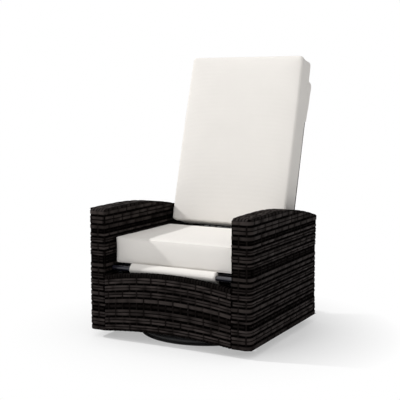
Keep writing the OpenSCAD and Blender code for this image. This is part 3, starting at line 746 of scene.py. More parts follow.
@dataclass
class WovenArm:
    """One arm: strands wound round a rounded block, over an arched top."""

    node: str
    side: int
    peak_back: float = 206 * MM
    front_drop: float = 3 * MM
    rear_drop: float = 70 * MM
    outer_r: float = 27 * MM
    fullness: float = 2 * MM
    top_fullness: float = 3.5 * MM
    inner_r: float = 6 * MM
    side_r: float = 22 * MM
    waist: float = 10 * MM
    stakes: int = 46
    steps_per_stake: int = 6
    stake_gap: float = 33.7 * MM
    least_steps: int = 8
    sway: tuple[float, float] = (0.16, 0.05)
    top_rows: int = 6
    top_margin: float = 1.5 * MM
    top_steps: int = 130
    under_out: float = 0.6 * MM
    edge_in: float = 4 * MM
    corner_bend: float = 9 * MM
    foot: float = 3 * MM
    stake_r: float = 3 * MM
    stake_short: float = 12 * MM
    arch_strands: tuple[Point, ...] = ((7 * MM, 13 * MM, 0.5), (18 * MM, 13 * MM, 0.3))
    arch_behind: float = 2.2 * MM
    arch_from: float = 14 * MM
    corner_stake: float = 11 * MM
    corner_stake_in: float = 1.6 * MM
    corner_stake_short: float = 13 * MM
    size: StrandSize = field(default_factory=StrandSize)
    low: Vector = field(init=False)
    high: Vector = field(init=False)

    def __post_init__(self) -> None:
        """Takes the arm's box from the frame, as if it were the left arm."""
        low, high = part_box(self.node)
        inner, outer = sorted((abs(low.x), abs(high.x)))
        self.low = Vector((inner, low.y, low.z))
        self.high = Vector((outer + self.fullness, high.y, high.z + self.top_fullness))

    def top(self, y: float) -> float:
        """Height of the arm's top."""
        peak = self.low.y + self.peak_back
        drop, end = (self.front_drop, self.low.y) if y < peak else (self.rear_drop, self.high.y)
        return self.high.z - drop * ((y - peak) / (end - peak)) ** 2

    def rear(self, z: float) -> float:
        """Place of the drawn-in rear edge."""
        rear_top = self.top(self.high.y)
        middle = (self.low.z + rear_top) / 2
        share = min(1.0, abs(z - middle) / (rear_top - middle))
        return self.high.y - self.waist * (1 - share**2)

    def front(self, z: float) -> float:
        """Place of the front edge, with its rounded top and bottom corners."""
        r = self.side_r
        return self.low.y + rounded(max(z - (self.top(self.low.y) - r), (self.low.z + r) - z), r)

    def ring(self, z: float, steps: int) -> tuple[Array, Array]:
        """The arm's plan at a height, walked from the rear's middle by way of the inner side.

        Returns:
            Points and their outward vectors, evenly spaced.
        """
        x0, x1, y0, y1 = self.low.x, self.high.x, self.front(z), self.rear(z)
        ri, ro = self.inner_r, self.outer_r
        corners = ((x0 + ri, y1 - ri, ri), (x0 + ri, y0 + ri, ri), (x1 - ro, y0 + ro, ro), (x1 - ro, y1 - ro, ro))
        turns = np.linspace(90, 180, 9)
        start = ((x0 + x1) / 2, y1, 0.0, 1.0)
        loop = np.vstack([start, *(arc(*corner, turns + 90 * k) for k, corner in enumerate(corners)), start])
        along = walked(loop[:, :2])
        x, y, x_out, y_out = read_at(along[-1] * np.arange(steps) / steps, along, loop).T
        return stacked(x, y, z), unit(stacked(x_out, y_out, 0.0))

    def weave_sides(self, loom: Loom) -> None:
        """Winds the horizontal strands, cut short where the top slopes below them."""
        steps = self.stakes * self.steps_per_stake
        step = np.arange(steps) / self.steps_per_stake
        for number, band in enumerate(ARM_BANDS):
            depth = band.depth
            for z, width in loom.rows_in(band.top * MM, band.bottom * MM):
                path, out = self.ring(z, steps)
                slow, quick = (loop_drift(step, self.stakes, seed) for seed in (number, 40 + z * 90))
                over = over_under(step + self.sway[0] * slow + self.sway[1] * quick, number % 2)
                path = path + out * (depth.level + depth.swing * over)[:, None]
                inside = np.array([self.top(p[1]) > z + width / 2 for p in path])
                if inside.all():
                    loom.lay(path, out, width, depth.tone, over, closed=True)
                elif inside.sum() > self.least_steps:
                    loom.lay(path[inside], out[inside], width, depth.tone, over[inside])

    def corner_inset(self, x: float) -> float:
        """How far the outer corner's curve lies behind the front edge at a place across the arm."""
        return rounded(x - (self.high.x - self.outer_r), self.outer_r)

    def corner_inset_along(self, y: float) -> float:
        """How far the rounded outer corner lies inside the outer face at a place along the arm."""
        return rounded(self.outer_r - min(y - self.low.y, self.high.y - self.waist - y), self.outer_r)

    def over_top(self, x: float, phase: int, drop: float, steps: int) -> tuple[Array, Array, Array]:
        """A strand's line over the arm's top, from its front corner to its rear edge.

        Returns:
            Points, their outward vectors and how far each is over or under the stakes.
        """
        r, bend = self.side_r, self.corner_bend
        inset = self.corner_inset(x + self.edge_in)
        front_z = self.top(self.low.y + r)
        angles = np.linspace(max(0.5, math.acos(max(0.0, 1 - inset / r))), math.pi / 2, 7)
        front = arc(self.low.y + r, front_z - r, r, 180 - np.degrees(angles))[:, :2]
        rear = self.high.y - inset
        line = [(y, self.top(y)) for y in np.linspace(self.low.y + r, rear - bend, 60)[1:]]
        corner = Vector((rear, self.top(rear)))
        start, end = Vector(line[-1]), corner - Vector((0.0, bend))
        turn = [tuple(start * (1 - t) ** 2 + corner * 2 * t * (1 - t) + end * t**2) for t in np.linspace(0, 1, 7)[1:]]
        points = np.vstack([front, line, turn, (rear, end[1] - drop)])
        along = walked(points)
        at = np.linspace(0, along[-1], steps + 1)
        yz = read_at(at, along, points)
        ahead = unit(np.gradient(yz, axis=0))
        out = stacked(0.0, -ahead[:, 1], ahead[:, 0])
        over = over_under(at / self.stake_gap, phase)
        lift = Depth.FACE.level + Depth.FACE.swing * over
        return stacked(x, *yz.T) + out * lift[:, None], out, over

    def weave_top(self, loom: Loom) -> None:
        """Lays the lengthwise strands over the arched top, and plain ones under the bottom."""
        start, end = self.low.x + self.top_margin, self.high.x - self.top_margin
        pitch = (end - start) / self.top_rows
        for row, x in enumerate(middles(start, end, self.top_rows)):
            path, out, over = self.over_top(x, (row // 2) % 2, self.corner_bend, self.top_steps)
            loom.lay(path, out, pitch - loom.size.gap, Depth.FACE.tone, over)
            y = np.linspace(self.high.y - self.edge_in, self.low.y + self.side_r, 12)
            loom.lay(stacked(x, y, self.low.z + self.under_out), (0.0, 0.0, -1.0), pitch - loom.size.gap, 0.5)

    def edge_arch(self, loom: Loom) -> None:
        """Runs strands along the arch inside both faces, behind the last rows; their low tones are painted shade,
        darker the further below the top.
        """
        y = np.linspace(self.low.y + self.arch_from, self.high.y - self.waist - self.edge_in, 60)
        top = np.array([self.top(value) for value in y])
        inset = np.array([self.corner_inset_along(value) for value in y])
        for x, way in ((self.low.x, -1), (self.high.x - inset, 1)):
            for below, width, tone in self.arch_strands:
                path = stacked(x - way * self.arch_behind, y, top - below)
                loom.lay(path[::way], (way, 0.0, 0.0), width, tone)

    def stake_hoop(self, y: float) -> tuple[Array, Array]:
        """A stake up the outer side, over the top and down the inner side.

        Near the rounded outer corners it ends at the top's edge.

        Returns:
            Points and their outward vectors.
        """
        clear = min(y - self.low.y, self.high.y - self.waist - y) > self.outer_r
        level = Depth.STAKE.level
        x0, x1, z0, z1 = self.low.x - level, self.high.x + level, self.low.z + self.foot, self.top(y) + level
        r = self.stake_r
        rise, bend = np.linspace(z0, z1 - r, 5)[:-1], np.linspace(0, 90, 4)
        rows = [(x1 - self.outer_r, z1, 0.0, 1.0)]
        if clear:
            rows = [stacked(x1, rise, 1.0, 0.0), arc(x1 - r, z1 - r, r, bend)]
        rows += [arc(x0 + r, z1 - r, r, 90 + bend), stacked(x0, rise[::-1], -1.0, 0.0)]
        x, z, x_out, z_out = np.vstack(rows).T
        return stacked(x, y, z), stacked(x_out, 0.0, z_out)

    def set_upright(self, loom: Loom, place: Array, out: Array, short: float, width: float, tone: float) -> None:
        """Sets an upright stake along the front or rear edge.

        Args:
            loom: What it is laid on.
            place: Its x, and how far it lies behind the edge.
            out: Its outward vector.
            short: How far it ends below the arm's top.
            width: Its width.
            tone: How light it looks.
        """
        end, edge = (self.low.y, self.front) if out[1] < 0 else (self.high.y, self.rear)
        heights = np.linspace(self.low.z + self.foot, self.top(end) - short, 22)
        path = np.array([(place[0], edge(z) + place[1], z) for z in heights])
        loom.lay(path, out, width, tone)

    def set_corner_stakes(self, loom: Loom) -> None:
        """Sets wide upright stakes inside each corner, three in the rounder outer ones, black as painted shade in the
        corners.
        """
        for x, r, way, turns in ((self.low.x, self.inner_r, -1, (45,)), (self.high.x, self.outer_r, 1, (20, 45, 70))):
            for end in (-1, 1):
                for turn in np.radians(turns):
                    out = np.array([way * math.cos(turn), end * math.sin(turn), 0.0])
                    place = np.array([x - way * r, -end * r]) + out[:2] * (r - self.corner_stake_in)
                    self.set_upright(loom, place, out, self.corner_stake_short, self.corner_stake, Depth.LINING.tone)

    def set_stakes(self, loom: Loom) -> None:
        """Sets the upright stakes where the side strands cross them."""
        middle = (self.low.z + self.top(self.high.y)) / 2
        width, tone = loom.size.stake_width, Depth.STAKE.tone
        for point, out in zip(*self.ring(middle, self.stakes)):
            if out[0] < -0.99:
                loom.lay(*self.stake_hoop(point[1]), width, tone)
            elif abs(out[1]) > 0.3:
                edge = self.front if out[1] < 0 else self.rear
                place = np.array([point[0], point[1] - edge(middle)]) + out[:2] * Depth.STAKE.level
                self.set_upright(loom, place, out, self.stake_short, width, tone)

    def build(self, finish: Skin) -> Piece:
        """Weaves the arm and puts it on the chassis.

        Args:
            finish: The strands' material.

        Returns:
            The finished piece.
        """
        loom = Loom(self.size, 11)
        for step in (self.weave_sides, self.weave_top, self.edge_arch, self.set_stakes, self.set_corner_stakes):
            step(loom)
        name = "woven_arm_left" if self.side > 0 else "woven_arm_right"
        piece = loom.finish(name)
        shade_backing = painted_shade_backing(self.node, name + "_lining")
        if self.side < 0:
            put_coordinates(piece, coordinates(piece) * np.array([-1.0, 1.0, 1.0]))
            with editing(piece, picked="SELECT"):
                bpy.ops.mesh.flip_normals()
        piece = join([piece, shade_backing], name)
        return put_on(piece, Body.CHASSIS, finish, "weave", self.node)


def painted_shade_backing(node: str, name: str, shrink: float = 0.2 * MM) -> Piece:
    """Makes a black sheet behind a woven skin from the inner wall of its solid: painted shade for the hollow behind
    the weave.

    Args:
        node: The frame's hollow node.
        name: Name of the new object.
        shrink: How far it is drawn in from the wall.

    Returns:
        A closed shell inside the weave.
    """
    shade_backing = own_copy(bpy.data.objects[node], name)
    shade_backing.parent = None
    shade_backing.data.materials.clear()
    with editing(shade_backing, picked="SELECT") as mesh:
        bpy.ops.mesh.remove_doubles(threshold=1e-5)
        bpy.ops.mesh.select_all(action="DESELECT")
        max(mesh.verts, key=lambda v: v.co.x).select_set(True)
        bpy.ops.mesh.select_linked()
        bpy.ops.mesh.delete(type="VERT")
        bpy.ops.mesh.select_all(action="SELECT")
        bpy.ops.mesh.normals_make_consistent(inside=False)
        bpy.ops.transform.shrink_fatten(value=-shrink)
    # Painted shade: the sheet takes the darkest tone.
    tone = shade_backing.data.attributes.new("tone", "FLOAT", "POINT")
    tone.data.foreach_set("value", np.full(len(shade_backing.data.vertices), Depth.LINING.tone, np.float32))
    if not shade_backing.data.uv_layers:
        shade_backing.data.uv_layers.new(name="UVMap")
    shade_backing.data.uv_layers[0].name = "UVMap"
    return shade_backing


def wear(obj: Piece, finish: Skin) -> None:
    """Gives an object one material in place of its own."""
    obj.data.materials.clear()
    obj.data.materials.append(finish)


def put_on(piece: Piece, body: Body, finish: Skin, slot: str, *nodes: str) -> Piece:
    """Dresses a finished piece and fixes it to the frame.

    Args:
        piece: The new piece, in place.
        body: What it moves with.
        finish: Its material.
        slot: The record's material slot; not used.
        nodes: The frame's nodes that it stands for.

    Returns:
        The piece.
    """
    wear(piece, finish)
    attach(piece, body.value)
    if nodes:
        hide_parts(*nodes)
    LOG.info("%s: %d vertices", piece.name, len(piece.data.vertices))
    return piece


@dataclass
class WovenPanel:
    """A flat panel between the arms with arched edges, woven on both faces."""

    node: str
    name: str
    top_drop: float
    bottom_rise: float = 18 * MM
    stakes: int = 17
    steps_per_stake: int = 6
    size: StrandSize = field(default_factory=StrandSize)
    seed: int = 5
    wrap_r: float = 7 * MM
    wrap_reach: tuple[float, float] = (8 * MM, 15 * MM)
    wrap_lift: tuple[float, float] = (0.4 * MM, 1.0 * MM)
    wrap_tone: float = 0.2
    stake_in: float = 4 * MM
    sway: float = 0.3

    def __post_init__(self) -> None:
        """Takes the panel's box from the frame."""
        self.low, self.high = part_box(self.node)

    def top(self, x: float | Array) -> float | Array:
        """Height of the upper edge."""
        return self.high.z - self.top_drop * (np.asarray(x) / self.high.x) ** 2

    def bottom(self, x: float | Array) -> float | Array:
        """Height of the lower edge."""
        return self.low.z + self.bottom_rise * (1 - (np.asarray(x) / self.high.x) ** 2)

    def weave_face(self, loom: Loom, y: float, out: float) -> None:
        """Lays the rows of one face.

        Args:
            loom: What the strands are laid on.
            y: Place of the face.
            out: -1 for the front face, 1 for the rear one.
        """
        steps = self.stakes * self.steps_per_stake
        x = np.linspace(self.low.x, self.high.x, steps + 1) * -out
        height = self.high.z - self.low.z - self.bottom_rise
        for number, band in enumerate(PANEL_BANDS):
            depth = band.depth
            step = np.arange(steps + 1) / self.steps_per_stake
            over = over_under(step + 0.5 + self.sway * drift(step, 0.45, 3.0 * number + self.seed), number % 2)
            for middle, width in loom.rows_in(-band.top * height, -band.bottom * height):
                share = -middle / height
                z = self.top(x) * (1 - share) + self.bottom(x) * share
                path = stacked(x, y + out * (depth.level + depth.swing * over), z)
                loom.lay(path, (0.0, out, 0.0), width, depth.tone, over)
        for at in middles(self.low.x, self.high.x, self.stakes):
            z = np.linspace(float(self.bottom(at)) + self.stake_in, float(self.top(at)) - self.stake_in, 4)
            path = stacked(at, y + out * Depth.STAKE.level, z)
            loom.lay(path, (0.0, out, 0.0), loom.size.stake_width, Depth.STAKE.tone)

    def wrap_edge(self, loom: Loom, upper: bool) -> None:
        """Winds short strands over the upper or lower edge."""
        reach, r = self.wrap_reach[upper], self.wrap_r
        half = (self.high.y - self.low.y) / 2
        middle = (self.high.y + self.low.y) / 2
        sign = 1.0 if upper else -1.0
        count = round((self.high.x - self.low.x) / self.size.pitch)
        width = (self.high.x - self.low.x) / count - self.size.gap
        bend = np.linspace(90, 0, 5)
        rows = [(-half, -reach, -1.0, 0.0), arc(r - half, -r, r, 90 + bend), arc(half - r, -r, r, bend)]
        y, z, y_out, z_out = np.vstack([*rows, (half, -reach, 1.0, 0.0)]).T
        for k, x in enumerate(middles(self.low.x, self.high.x, count)):
            edge = float(self.top(x) if upper else self.bottom(x))
            lift = self.wrap_lift[k % 2]
            path = stacked(x, middle + y + y_out * lift, edge + sign * (z + z_out * lift))
            loom.lay(path, stacked(0.0, y_out, sign * z_out), width, self.wrap_tone)

    def build(self, finish: Skin) -> Piece:
        """Weaves the panel and puts it on the chassis.

        Args:
            finish: The strands' material.

        Returns:
            The finished piece.
        """
        loom = Loom(self.size, self.seed)
        self.weave_face(loom, self.low.y, -1.0)
        self.weave_face(loom, self.high.y, 1.0)
        self.wrap_edge(loom, True)
        self.wrap_edge(loom, False)
        piece = join([loom.finish(self.name), painted_shade_backing(self.node, self.name + "_lining")], self.name)
        return put_on(piece, Body.CHASSIS, finish, "weave", self.node)


@dataclass
class Lean:
    """The back's own directions: n across its thickness, s up along it."""

    degrees: float = 15.8
    y: float = 168.6 * MM
    z: float = 435 * MM

    @property
    def matrix(self) -> Matrix:
        """Carries what is made upright at the origin to the back's place."""
        return Matrix.Translation((0, self.y, self.z)) @ Matrix.Rotation(-math.radians(self.degrees), 4, "X")

    def place(self, x: Array | float, n: Array | float, s: Array | float) -> Array:
        """Places given by the back's own directions, in the frame."""
        sine, cosine = math.sin(math.radians(self.degrees)), math.cos(math.radians(self.degrees))
        return stacked(x, self.y + n * cosine + s * sine, self.z - n * sine + s * cosine)

    def turn(self, x: Array | float, n: Array | float, s: Array | float) -> Array:
        """Directions given by the back's own, in the frame."""
        return self.place(x, n, s) - np.array([0, self.y, self.z])


@dataclass
class WovenBack:
    """The panel stretched over the back frame, each strand wound round both of its legs."""

    lean: Lean
    tube_r: float = 12.5 * MM
    tube_x: float = 253.5 * MM
    tube_n: float = 132.8 * MM
    wrap_x: float = 18.5 * MM
    low_s: float = -24 * MM
    wound_to_s: float = 512 * MM
    high_s: float = 620 * MM
    clear: float = 1.5 * MM
    wave: float = 1.0 * MM
    fade: float = 20 * MM
    sink: float = 0.2 * MM
    stake_out: float = 1.3 * MM
    row_gap: float = 0.3 * MM
    thickness: float = 1.0 * MM
    stakes: int = 15
    size: StrandSize = field(default_factory=StrandSize)

    def strand(self, s: float, phase: int, wound: bool) -> tuple[Array, Array]:
        """One row across the front, hooked round the legs where it is wound.

        Returns:
            Points and their outward vectors.
        """
        r = self.tube_r + self.clear
        face = self.tube_n - r
        steps = self.stakes * 5
        x = np.linspace(self.tube_x, -self.tube_x, steps + 1)
        wave = self.wave * over_under(np.arange(steps + 1) / 5 + 0.5, phase)
        fade = np.clip((self.tube_x - np.abs(x)) / self.fade, 0, 1)
        rows = stacked(x, face - (self.sink + wave) * fade, 0.0, -1.0)
        if wound:
            a = np.arange(20, 241, 20)
            right = arc(-self.tube_x, self.tube_n, r, 270 - a)
            right[a < 180, 0] = -self.tube_x + self.wrap_x * right[a < 180, 2]
            rows = np.vstack([right[::-1] * (-1, 1, -1, 1), rows, right])
        x, n, x_out, n_out = rows.T
        return self.lean.place(x, n, s), self.lean.turn(x_out, n_out, 0.0)

    def build(self, finish: Skin) -> Piece:
        """Weaves the back and puts it on the back's body.

        Args:
            finish: The strands' material.

        Returns:
            The finished piece.
        """
        loom = Loom(self.size, 23)
        rows = round((self.high_s - self.low_s) / self.size.pitch)
        pitch = (self.high_s - self.low_s) / rows
        for row, s in enumerate(middles(self.low_s, self.high_s, rows)):
            path, out = self.strand(s, (row // 2) % 2, s < self.wound_to_s)
            loom.lay(path, out, pitch - self.row_gap, Depth.FACE.tone)
        for x in middles(-self.tube_x, self.tube_x, self.stakes):
            s = np.linspace(self.low_s, self.high_s, 6)
            path = self.lean.place(x, self.tube_n - self.tube_r - self.stake_out, s)
            loom.lay(path, self.lean.turn(0.0, -1.0, 0.0), loom.size.stake_width, Depth.STAKE.tone)
        piece = loom.finish("woven_back", self.thickness)
        return put_on(piece, Body.BACK, finish, "weave", "back_weave")


# Soft goods


@dataclass
class Cushion:
    """A boxed foam cushion: two panels joined by a gusset, sewn along both edges, swollen between its seams."""

    name: str
    node: str
    body: Body
    size: Point
    centre: Point
    placing: Matrix
    thin: int
    face: int
    fill: float
    corner_r: float = 24 * MM
    edge_r: float = 5 * MM
    crown: float = 8 * MM
    rest_crown: float = 1.5 * MM
    side_swell: float = 3 * MM
    draw: float = 3.5 * MM
    waist: float = 3 * MM
    pressure: float = 4.0
    voxel: float = 6.5 * MM
    seam_r: float = 0.9 * MM
    seam_in: float = 3 * MM
    pinned_r: float = 9 * MM
    pinch: tuple[float, float] = (1.3 * MM, 5 * MM)
    pucker: tuple[float, float] = (0.8 * MM, 22 * MM)
    slack: float = 1 * MM
    frames: int = 20

    @property
    def wide(self) -> list[int]:
        """The two axes along the panels."""
        return [k for k in range(3) if k != self.thin]

    def edge_distance(self, rows: Array) -> Array:
        """How far points lie from the panels' outline seen from the front, below 0 inside it.

        Args:
            rows: Points about the cushion's centre.
        """
        over = [np.abs(rows[:, k]) - (self.size[k] / 2 - self.corner_r) for k in self.wide]
        outside = np.hypot(*[np.maximum(value, 0) for value in over])
        return outside + np.minimum(np.maximum(*over), 0) - self.corner_r

    def seam_distance(self, rows: Array) -> Array:
        """How far points lie from the nearer panel edge."""
        level = self.size[self.thin] / 2 - self.crown * 0.5
        return np.hypot(self.edge_distance(rows), np.abs(rows[:, self.thin]) - level)

    def blank(self) -> Piece:
        """Cuts the unfilled form: a box with round corners and tight panel edges, its gusset drawn in."""
        thin, wide, half = self.thin, self.wide, np.array(self.size) / 2
        piece = primitive(bpy.ops.mesh.primitive_cube_add, size=1, location=(0, 0, 0))
        piece.name = self.name
        piece.scale = [length - (self.crown if k == thin else 0.0) for k, length in enumerate(self.size)]
        settle(piece)
        with editing(piece, "EDGE") as mesh:
            pick_edges(piece, mesh, lambda e: abs(e.verts[0].co[thin] - e.verts[1].co[thin]) > 10 * MM)
            bpy.ops.mesh.bevel(offset=self.corner_r, segments=6, affect="EDGES")
        level = (self.size[thin] - self.crown) / 2
        with editing(piece, "EDGE") as mesh:
            pick_edges(piece, mesh, lambda e: all(abs(abs(v.co[thin]) - level) < 0.1 * MM for v in e.verts)
                       and len({round(f.normal[thin]) for f in e.link_faces}) > 1)
            bpy.ops.mesh.bevel(offset=self.edge_r, segments=3, affect="EDGES")
        modify(piece, "REMESH", mode="VOXEL", voxel_size=self.voxel)
        rows = coordinates(piece)
        depth = np.clip(1 - (rows[:, thin] / level) ** 2, 0, 1)
        for k, other in (wide, wide[::-1]):
            near = np.clip(np.abs(rows[:, k]) / half[k], 0, 1) ** 6
            bow = np.clip(1 - (rows[:, other] / half[other]) ** 2, 0, 1)
            waist = self.waist if k == wide[0] else 0.0
            rows[:, k] -= np.sign(rows[:, k]) * near * (waist * bow + self.draw * depth)
        put_coordinates(piece, rows)
        return piece

    def swell(self, piece: Piece) -> None:
        """Fills the cushion by cloth pressure, its seams pinned and each point held within its cap."""
        rest = coordinates(piece)
        faced = normals_of(piece)[:, self.thin] * self.face
        pins = piece.vertex_groups.new(name="seams")
        hold = bell(self.seam_distance(rest), self.pinned_r)
        for index in np.flatnonzero(hold > 0.05):
            pins.add([int(index)], float(hold[index]), "REPLACE")
        select_only(piece)
        cloth = piece.modifiers.new("Cloth", "CLOTH")
        settings = cloth.settings
        settings.use_pressure = True
        settings.uniform_pressure_force = self.pressure
        settings.effector_weights.gravity = 0
        settings.vertex_group_mass = "seams"
        settings.tension_stiffness = settings.compression_stiffness = 30
        settings.bending_stiffness = 6
        cloth.point_cache.frame_start, cloth.point_cache.frame_end = 1, self.frames
        scene = bpy.context.scene
        for frame in range(1, self.frames + 1):
            scene.frame_set(frame)
        bpy.ops.object.modifier_apply(modifier=cloth.name)
        scene.frame_set(1)
        piece.vertex_groups.clear()
        cap = self.side_swell + (self.crown - self.side_swell) * np.clip(faced, 0, 1) ** 2
        cap += (self.rest_crown - self.side_swell) * np.clip(-faced, 0, 1) ** 2
        move = coordinates(piece) - rest
        length = np.maximum(np.linalg.norm(move, axis=1), 1e-9)
        soft = cap * np.tanh(length / cap)
        put_coordinates(piece, rest + move * (soft / length)[:, None])

    def fit(self, piece: Piece) -> None:
        """Brings the filled cushion to the size it has in the frame."""
        rows = coordinates(piece)
        low, high = rows.min(axis=0), rows.max(axis=0)
        full = np.array(self.size) - self.slack
        put_coordinates(piece, (rows - (low + high) / 2) * full / (high - low))

    def seam_path(self, side: float) -> Array:
        """Points round the edge of one panel before they are laid on the cloth."""
        a, b = self.wide
        r = self.corner_r
        half = np.array(self.size) / 2
        crown = self.crown if side == self.face else self.rest_crown
        corners, turns = ((1, 1), (-1, 1), (-1, -1), (1, -1)), np.linspace(0, 90, 9)
        rows = [arc((half[a] - r) * p, (half[b] - r) * q, r, turns + 90 * k) for k, (p, q) in enumerate(corners)]
        track = np.full((len(turns) * 4, 3), side * (half[self.thin] - crown - self.seam_in))
        track[:, self.wide] = np.vstack(rows)[:, :2]
        return evenly(track, 520)

    def sew(self, piece: Piece) -> list[Piece]:
        """Pinches the cloth along both panel edges, puckers it there and lays a thin seam in the pinch.

        Returns:
            The two seams.
        """
        tracks = [self.seam_path(side) for side in (-1.0, 1.0)]
        rows = coordinates(piece)
        pucker = noise_at(*(rows * 30.0).T)
        pinch = np.zeros(len(rows))
        for track in tracks:
            parts = np.array_split(rows, len(rows) // 4000 + 1)
            near = np.concatenate([np.linalg.norm(part[:, None] - track, axis=2).min(axis=1) for part in parts])
            pinch = np.maximum(pinch, self.pinch[0] * bell(near, self.pinch[1]))
            pinch += self.pucker[0] * pucker * bell(near, self.pucker[1])
        put_coordinates(piece, rows - normals_of(piece) * pinch[:, None])
        tree = BVHTree.FromObject(piece, bpy.context.evaluated_depsgraph_get())
        return [self.seam(track, tree, number) for number, track in enumerate(tracks)]

    def seam(self, track: Array, tree: BVHTree, number: int) -> Piece:
        """Makes one seam's thin rounded ridge, half sunk in the cloth."""
        ridge = primitive(bpy.ops.mesh.primitive_circle_add, vertices=len(track), radius=1)
        ridge.name = f"{self.name}_seam_{number}"
        rows = []
        for point in track:
            place, normal, _, _ = tree.find_nearest(Vector(point))
            rows.append(place + normal * 0.3 * self.seam_r)
        put_coordinates(ridge, np.array(rows))
        bpy.ops.object.convert(target="CURVE")
        ridge.data.bevel_depth = self.seam_r
        ridge.data.bevel_resolution = 1
        select_only(ridge)
        bpy.ops.object.convert(target="MESH")
        face_outwards(ridge)
        return ridge

    def build(self, finish: Skin) -> Piece:
        """Makes the cushion and puts it on its body.

        Args:
            finish: The cloth's material.

        Returns:
            The cushion.
        """
        piece = self.blank()
        self.swell(piece)
        self.fit(piece)
        modify(piece, "SUBSURF", levels=1, render_levels=1)
        whole = join([piece, *self.sew(piece)], self.name)
        settle(whole, self.placing @ Matrix.Translation(self.centre))
        select_only(whole)
        bpy.ops.object.shade_smooth()
        put_on(whole, self.body, finish, "cushion_fabric", self.node)
        return whole


@dataclass
class BackPocket:
    """The cloth pocket that holds the back cushion to the top of the back frame."""

    lean: Lean
    top_s: float = 709 * MM
    length: float = 200 * MM
    half: float = 274 * MM
    near_n: float = 104 * MM
    far_n: float = 144 * MM
    deeper: float = 25 * MM
    bend_r: float = 34 * MM
    wall: float = 0.3
    cloth: float = 2.2 * MM
    round_in: float = 4 * MM
    rear_folds: tuple[float, float] = (3.0 * MM, 0.8 * MM)
    side_folds: tuple[float, float] = (2.0 * MM, 1.0 * MM)
    steps: int = 150
    rows: int = 34

    def rim(self) -> Array:
        """The pocket's outline seen from behind, open at the bottom: places across and along the back."""
        corner = arc(self.half - self.bend_r, self.top_s - self.bend_r, self.bend_r, np.linspace(0, 90, 16))
        one = np.vstack([(self.half, self.top_s - self.length), corner[:, :2]])
        points = np.vstack([one, one[::-1] * (-1, 1)])
        along = walked(points)
        return read_at(np.linspace(0, along[-1], self.steps + 1), along, points)

    def far_at(self, s: Array) -> Array:
        """How far back the pocket's rear wall stands at a height, fuller towards the top."""
        share = np.clip((s - self.top_s + self.length) / self.length, 0, 1)
        return self.far_n + self.deeper * np.sqrt(np.sin(0.5 * math.pi * share))

    def build(self, finish: Skin) -> Piece:
        """Drapes the pocket over the frame and puts it on the back.

        Args:
            finish: The cloth's material.

        Returns:
            The pocket.
        """
        piece = primitive(
            bpy.ops.mesh.primitive_grid_add, x_subdivisions=self.steps, y_subdivisions=self.rows, size=1
        )
        flat = coordinates(piece)
        i = np.rint((flat[:, 0] + 0.5) * self.steps).astype(int)
        v = flat[:, 1] + 0.5
        low = self.top_s - self.length
        inner = np.where(v < self.wall, 1.0, 1.0 - (v - self.wall) / (1 - self.wall))
        rim = self.rim()[i]
        x, s = rim[:, 0] * inner, low + (rim[:, 1] - low) * inner
        far = self.far_at(s)
        n = np.where(v < self.wall, self.near_n + (far - self.near_n) * v / self.wall, far)
        put_coordinates(piece, self.slacken(x, n, s, v))
        face_outwards(piece)
        modify(piece, "SUBSURF", levels=1, render_levels=1)
        modify(piece, "SOLIDIFY", thickness=self.cloth, offset=-1.0)
        piece.name = piece.data.name = "back_pocket"
        select_only(piece)
        bpy.ops.object.shade_smooth()
        put_on(piece, Body.BACK, finish, "cushion_fabric", "cushion_pocket")
        return piece

    def slacken(self, x: Array, n: Array, s: Array, v: Array) -> Array:
        """Rounds the edge and adds the slack folds of loose cloth.

        Args:
            x: Places across the back.
            n: Places across its thickness.
            s: Places along it.
            v: Shares from the front edge to the middle of the rear wall.

        Returns:
            The points in the frame.
        """
        rounding = bell(v - self.wall, 0.05)
        toward = stacked(x, s - (self.top_s - self.length * 0.5))
        toward /= np.maximum(np.linalg.norm(toward, axis=1)[:, None], 1e-6)
        x, s = (stacked(x, s) - toward * rounding[:, None] * self.round_in).T
        folds, fine = noise_at(x * 9, s * 22, 1.7), noise_at(x * 30, s * 55, 4.1)
        rear = np.clip((v - self.wall) / 0.08, 0, 1)
        deep, shallow = (large * folds + small * fine for large, small in (self.rear_folds, self.side_folds))
        n = n + rear * deep - rounding * 3 * MM
        x = x + np.sign(x) * (1 - rear) * shallow * (np.abs(x) > 0.2)
        return self.lean.place(x, n, s)


